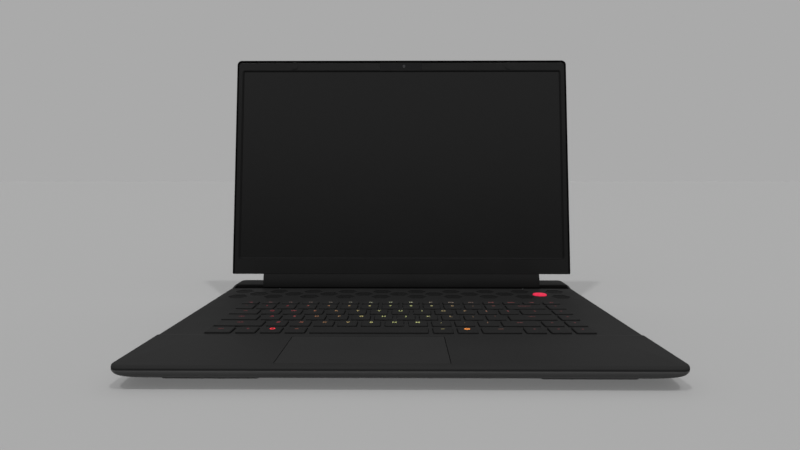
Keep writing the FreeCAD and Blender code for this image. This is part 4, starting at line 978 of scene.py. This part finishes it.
# ------------------------------------------------------------------ CAD pieces that stay
FINISH = {
    "keyboard_plate": "dark", "key_membrane": "membrane", "rubber_feet": "rubber",
    "bottom_screws": "screw", "motherboard": "board", "processor": "chip",
    "graphics_chip": "chip", "memory_modules": "board", "solid_state_drive": "board",
    "wireless_card": "board", "heat_pipes": "copper", "heatsink_fins": "fin",
    "fan_housing_left": "dark", "fan_housing_right": "dark", "fan_rotor_left": "dark",
    "fan_rotor_right": "dark", "battery": "battery", "speakers": "dark",
    "power_inlet": "dark", "video_port": "plated", "small_ports": "plated",
    "large_ports": "plated", "network_port": "dark", "audio_jack": "dark",
    "hinge_bracket_left": "screw", "hinge_bracket_right": "screw", "hinge_leaf_left": "screw",
    "hinge_leaf_right": "screw", "hinge_nuts": "screw", "webcam_module": "chip",
    "display_panel": "panel", "screen_glass": "screen", "display_board": "board",
    "lid_bumpers": "bezel",
}
for node, finish in FINISH.items():
    if node in frame["nodes"]:
        mesh = frame["nodes"][node].data
        mesh.materials.clear()
        mesh.materials.append(M[finish])

# ------------------------------------------------------------------ floor, light, camera
bm = bmesh.new()
FLOOR_HALF = 60.0
bmesh.ops.create_grid(bm, x_segments=2, y_segments=2, size=FLOOR_HALF)
mesh = bpy.data.meshes.new("floor")
bm.to_mesh(mesh)
bm.free()
floor = bpy.data.objects.new("floor", mesh)
scene.collection.objects.link(floor)
FLOOR_ALBEDO = 0.35
floor_mat = bpy.data.materials.new("floor_paper")
floor_mat.use_nodes = True
shader = floor_mat.node_tree.nodes["Principled BSDF"]
shader.inputs["Base Color"].default_value = (FLOOR_ALBEDO, FLOOR_ALBEDO, FLOOR_ALBEDO, 1.0)
shader.inputs["Roughness"].default_value = 1.0
shader.inputs["Specular IOR Level"].default_value = 0.0
mesh.materials.append(floor_mat)

# studio room: an even backdrop ahead, a dim front wall below a bright ceiling behind the viewer
SKY, WALL, CEILING = 0.402, 0.16, 0.40
world = bpy.data.worlds.new("studio")
world.use_nodes = True
scene.world = world
nodes = world.node_tree.nodes
links = world.node_tree.links
way = nodes.new("ShaderNodeTexCoord")
split = nodes.new("ShaderNodeSeparateXYZ")
links.new(way.outputs["Generated"], split.inputs["Vector"])
behind = map_range(world.node_tree, split.outputs["Z"], 0.10, 0.46, WALL, CEILING, smooth=True)
ahead = map_range(world.node_tree, split.outputs["Y"], -0.35, 0.15, smooth=True)
level = nodes.new("ShaderNodeMix")
links.new(ahead, level.inputs["Factor"])
links.new(behind, level.inputs["A"])
level.inputs["B"].default_value = SKY
links.new(level.outputs["Result"], nodes["Background"].inputs["Color"])

KEY_ENERGY, KEY_SPREAD, KEY_SIDE, KEY_BACK = 0.64, 3.0, 0.28, 0.30
FILL_ENERGY, FILL_SPREAD, FILL_BACK = 1.27, 30.0, 0.06


def add_sun(name, energy, degrees, direction, shadow=True):
    sun = bpy.data.lights.new(name, "SUN")
    sun.energy = energy
    sun.use_shadow = shadow
    sun.angle = math.radians(degrees)
    holder = bpy.data.objects.new(name, sun)
    holder.rotation_euler = Vector(direction).to_track_quat("-Z", "Y").to_euler()
    scene.collection.objects.link(holder)


add_sun("key_light_left", KEY_ENERGY, KEY_SPREAD, (KEY_SIDE, KEY_BACK, -1.0))
add_sun("key_light_right", KEY_ENERGY, KEY_SPREAD, (-KEY_SIDE, KEY_BACK, -1.0))
add_sun("even_fill", FILL_ENERGY, FILL_SPREAD, (0.0, FILL_BACK, -1.0), shadow=False)

FOCAL_LENGTH, SENSOR_WIDTH = 24.444, 36.0  # mm, as Blender states them
CAMERA_PLACE = Vector((2.782, -480.78, 132.869)) * MM
CAMERA_DOWN, CAMERA_LEFT = math.radians(4.739), math.radians(0.397)

camera = bpy.data.cameras.new("camera")
camera.sensor_width = SENSOR_WIDTH
camera.sensor_fit = "HORIZONTAL"
camera.lens = FOCAL_LENGTH
camera.clip_start = 0.01
camera.clip_end = 200.0
camera_obj = bpy.data.objects.new("camera", camera)
camera_obj.location = CAMERA_PLACE
camera_obj.rotation_euler = (math.pi / 2 - CAMERA_DOWN, 0.0, CAMERA_LEFT)
scene.collection.objects.link(camera_obj)
scene.camera = camera_obj
scene.view_settings.view_transform = "Standard"
scene.view_settings.look = "None"
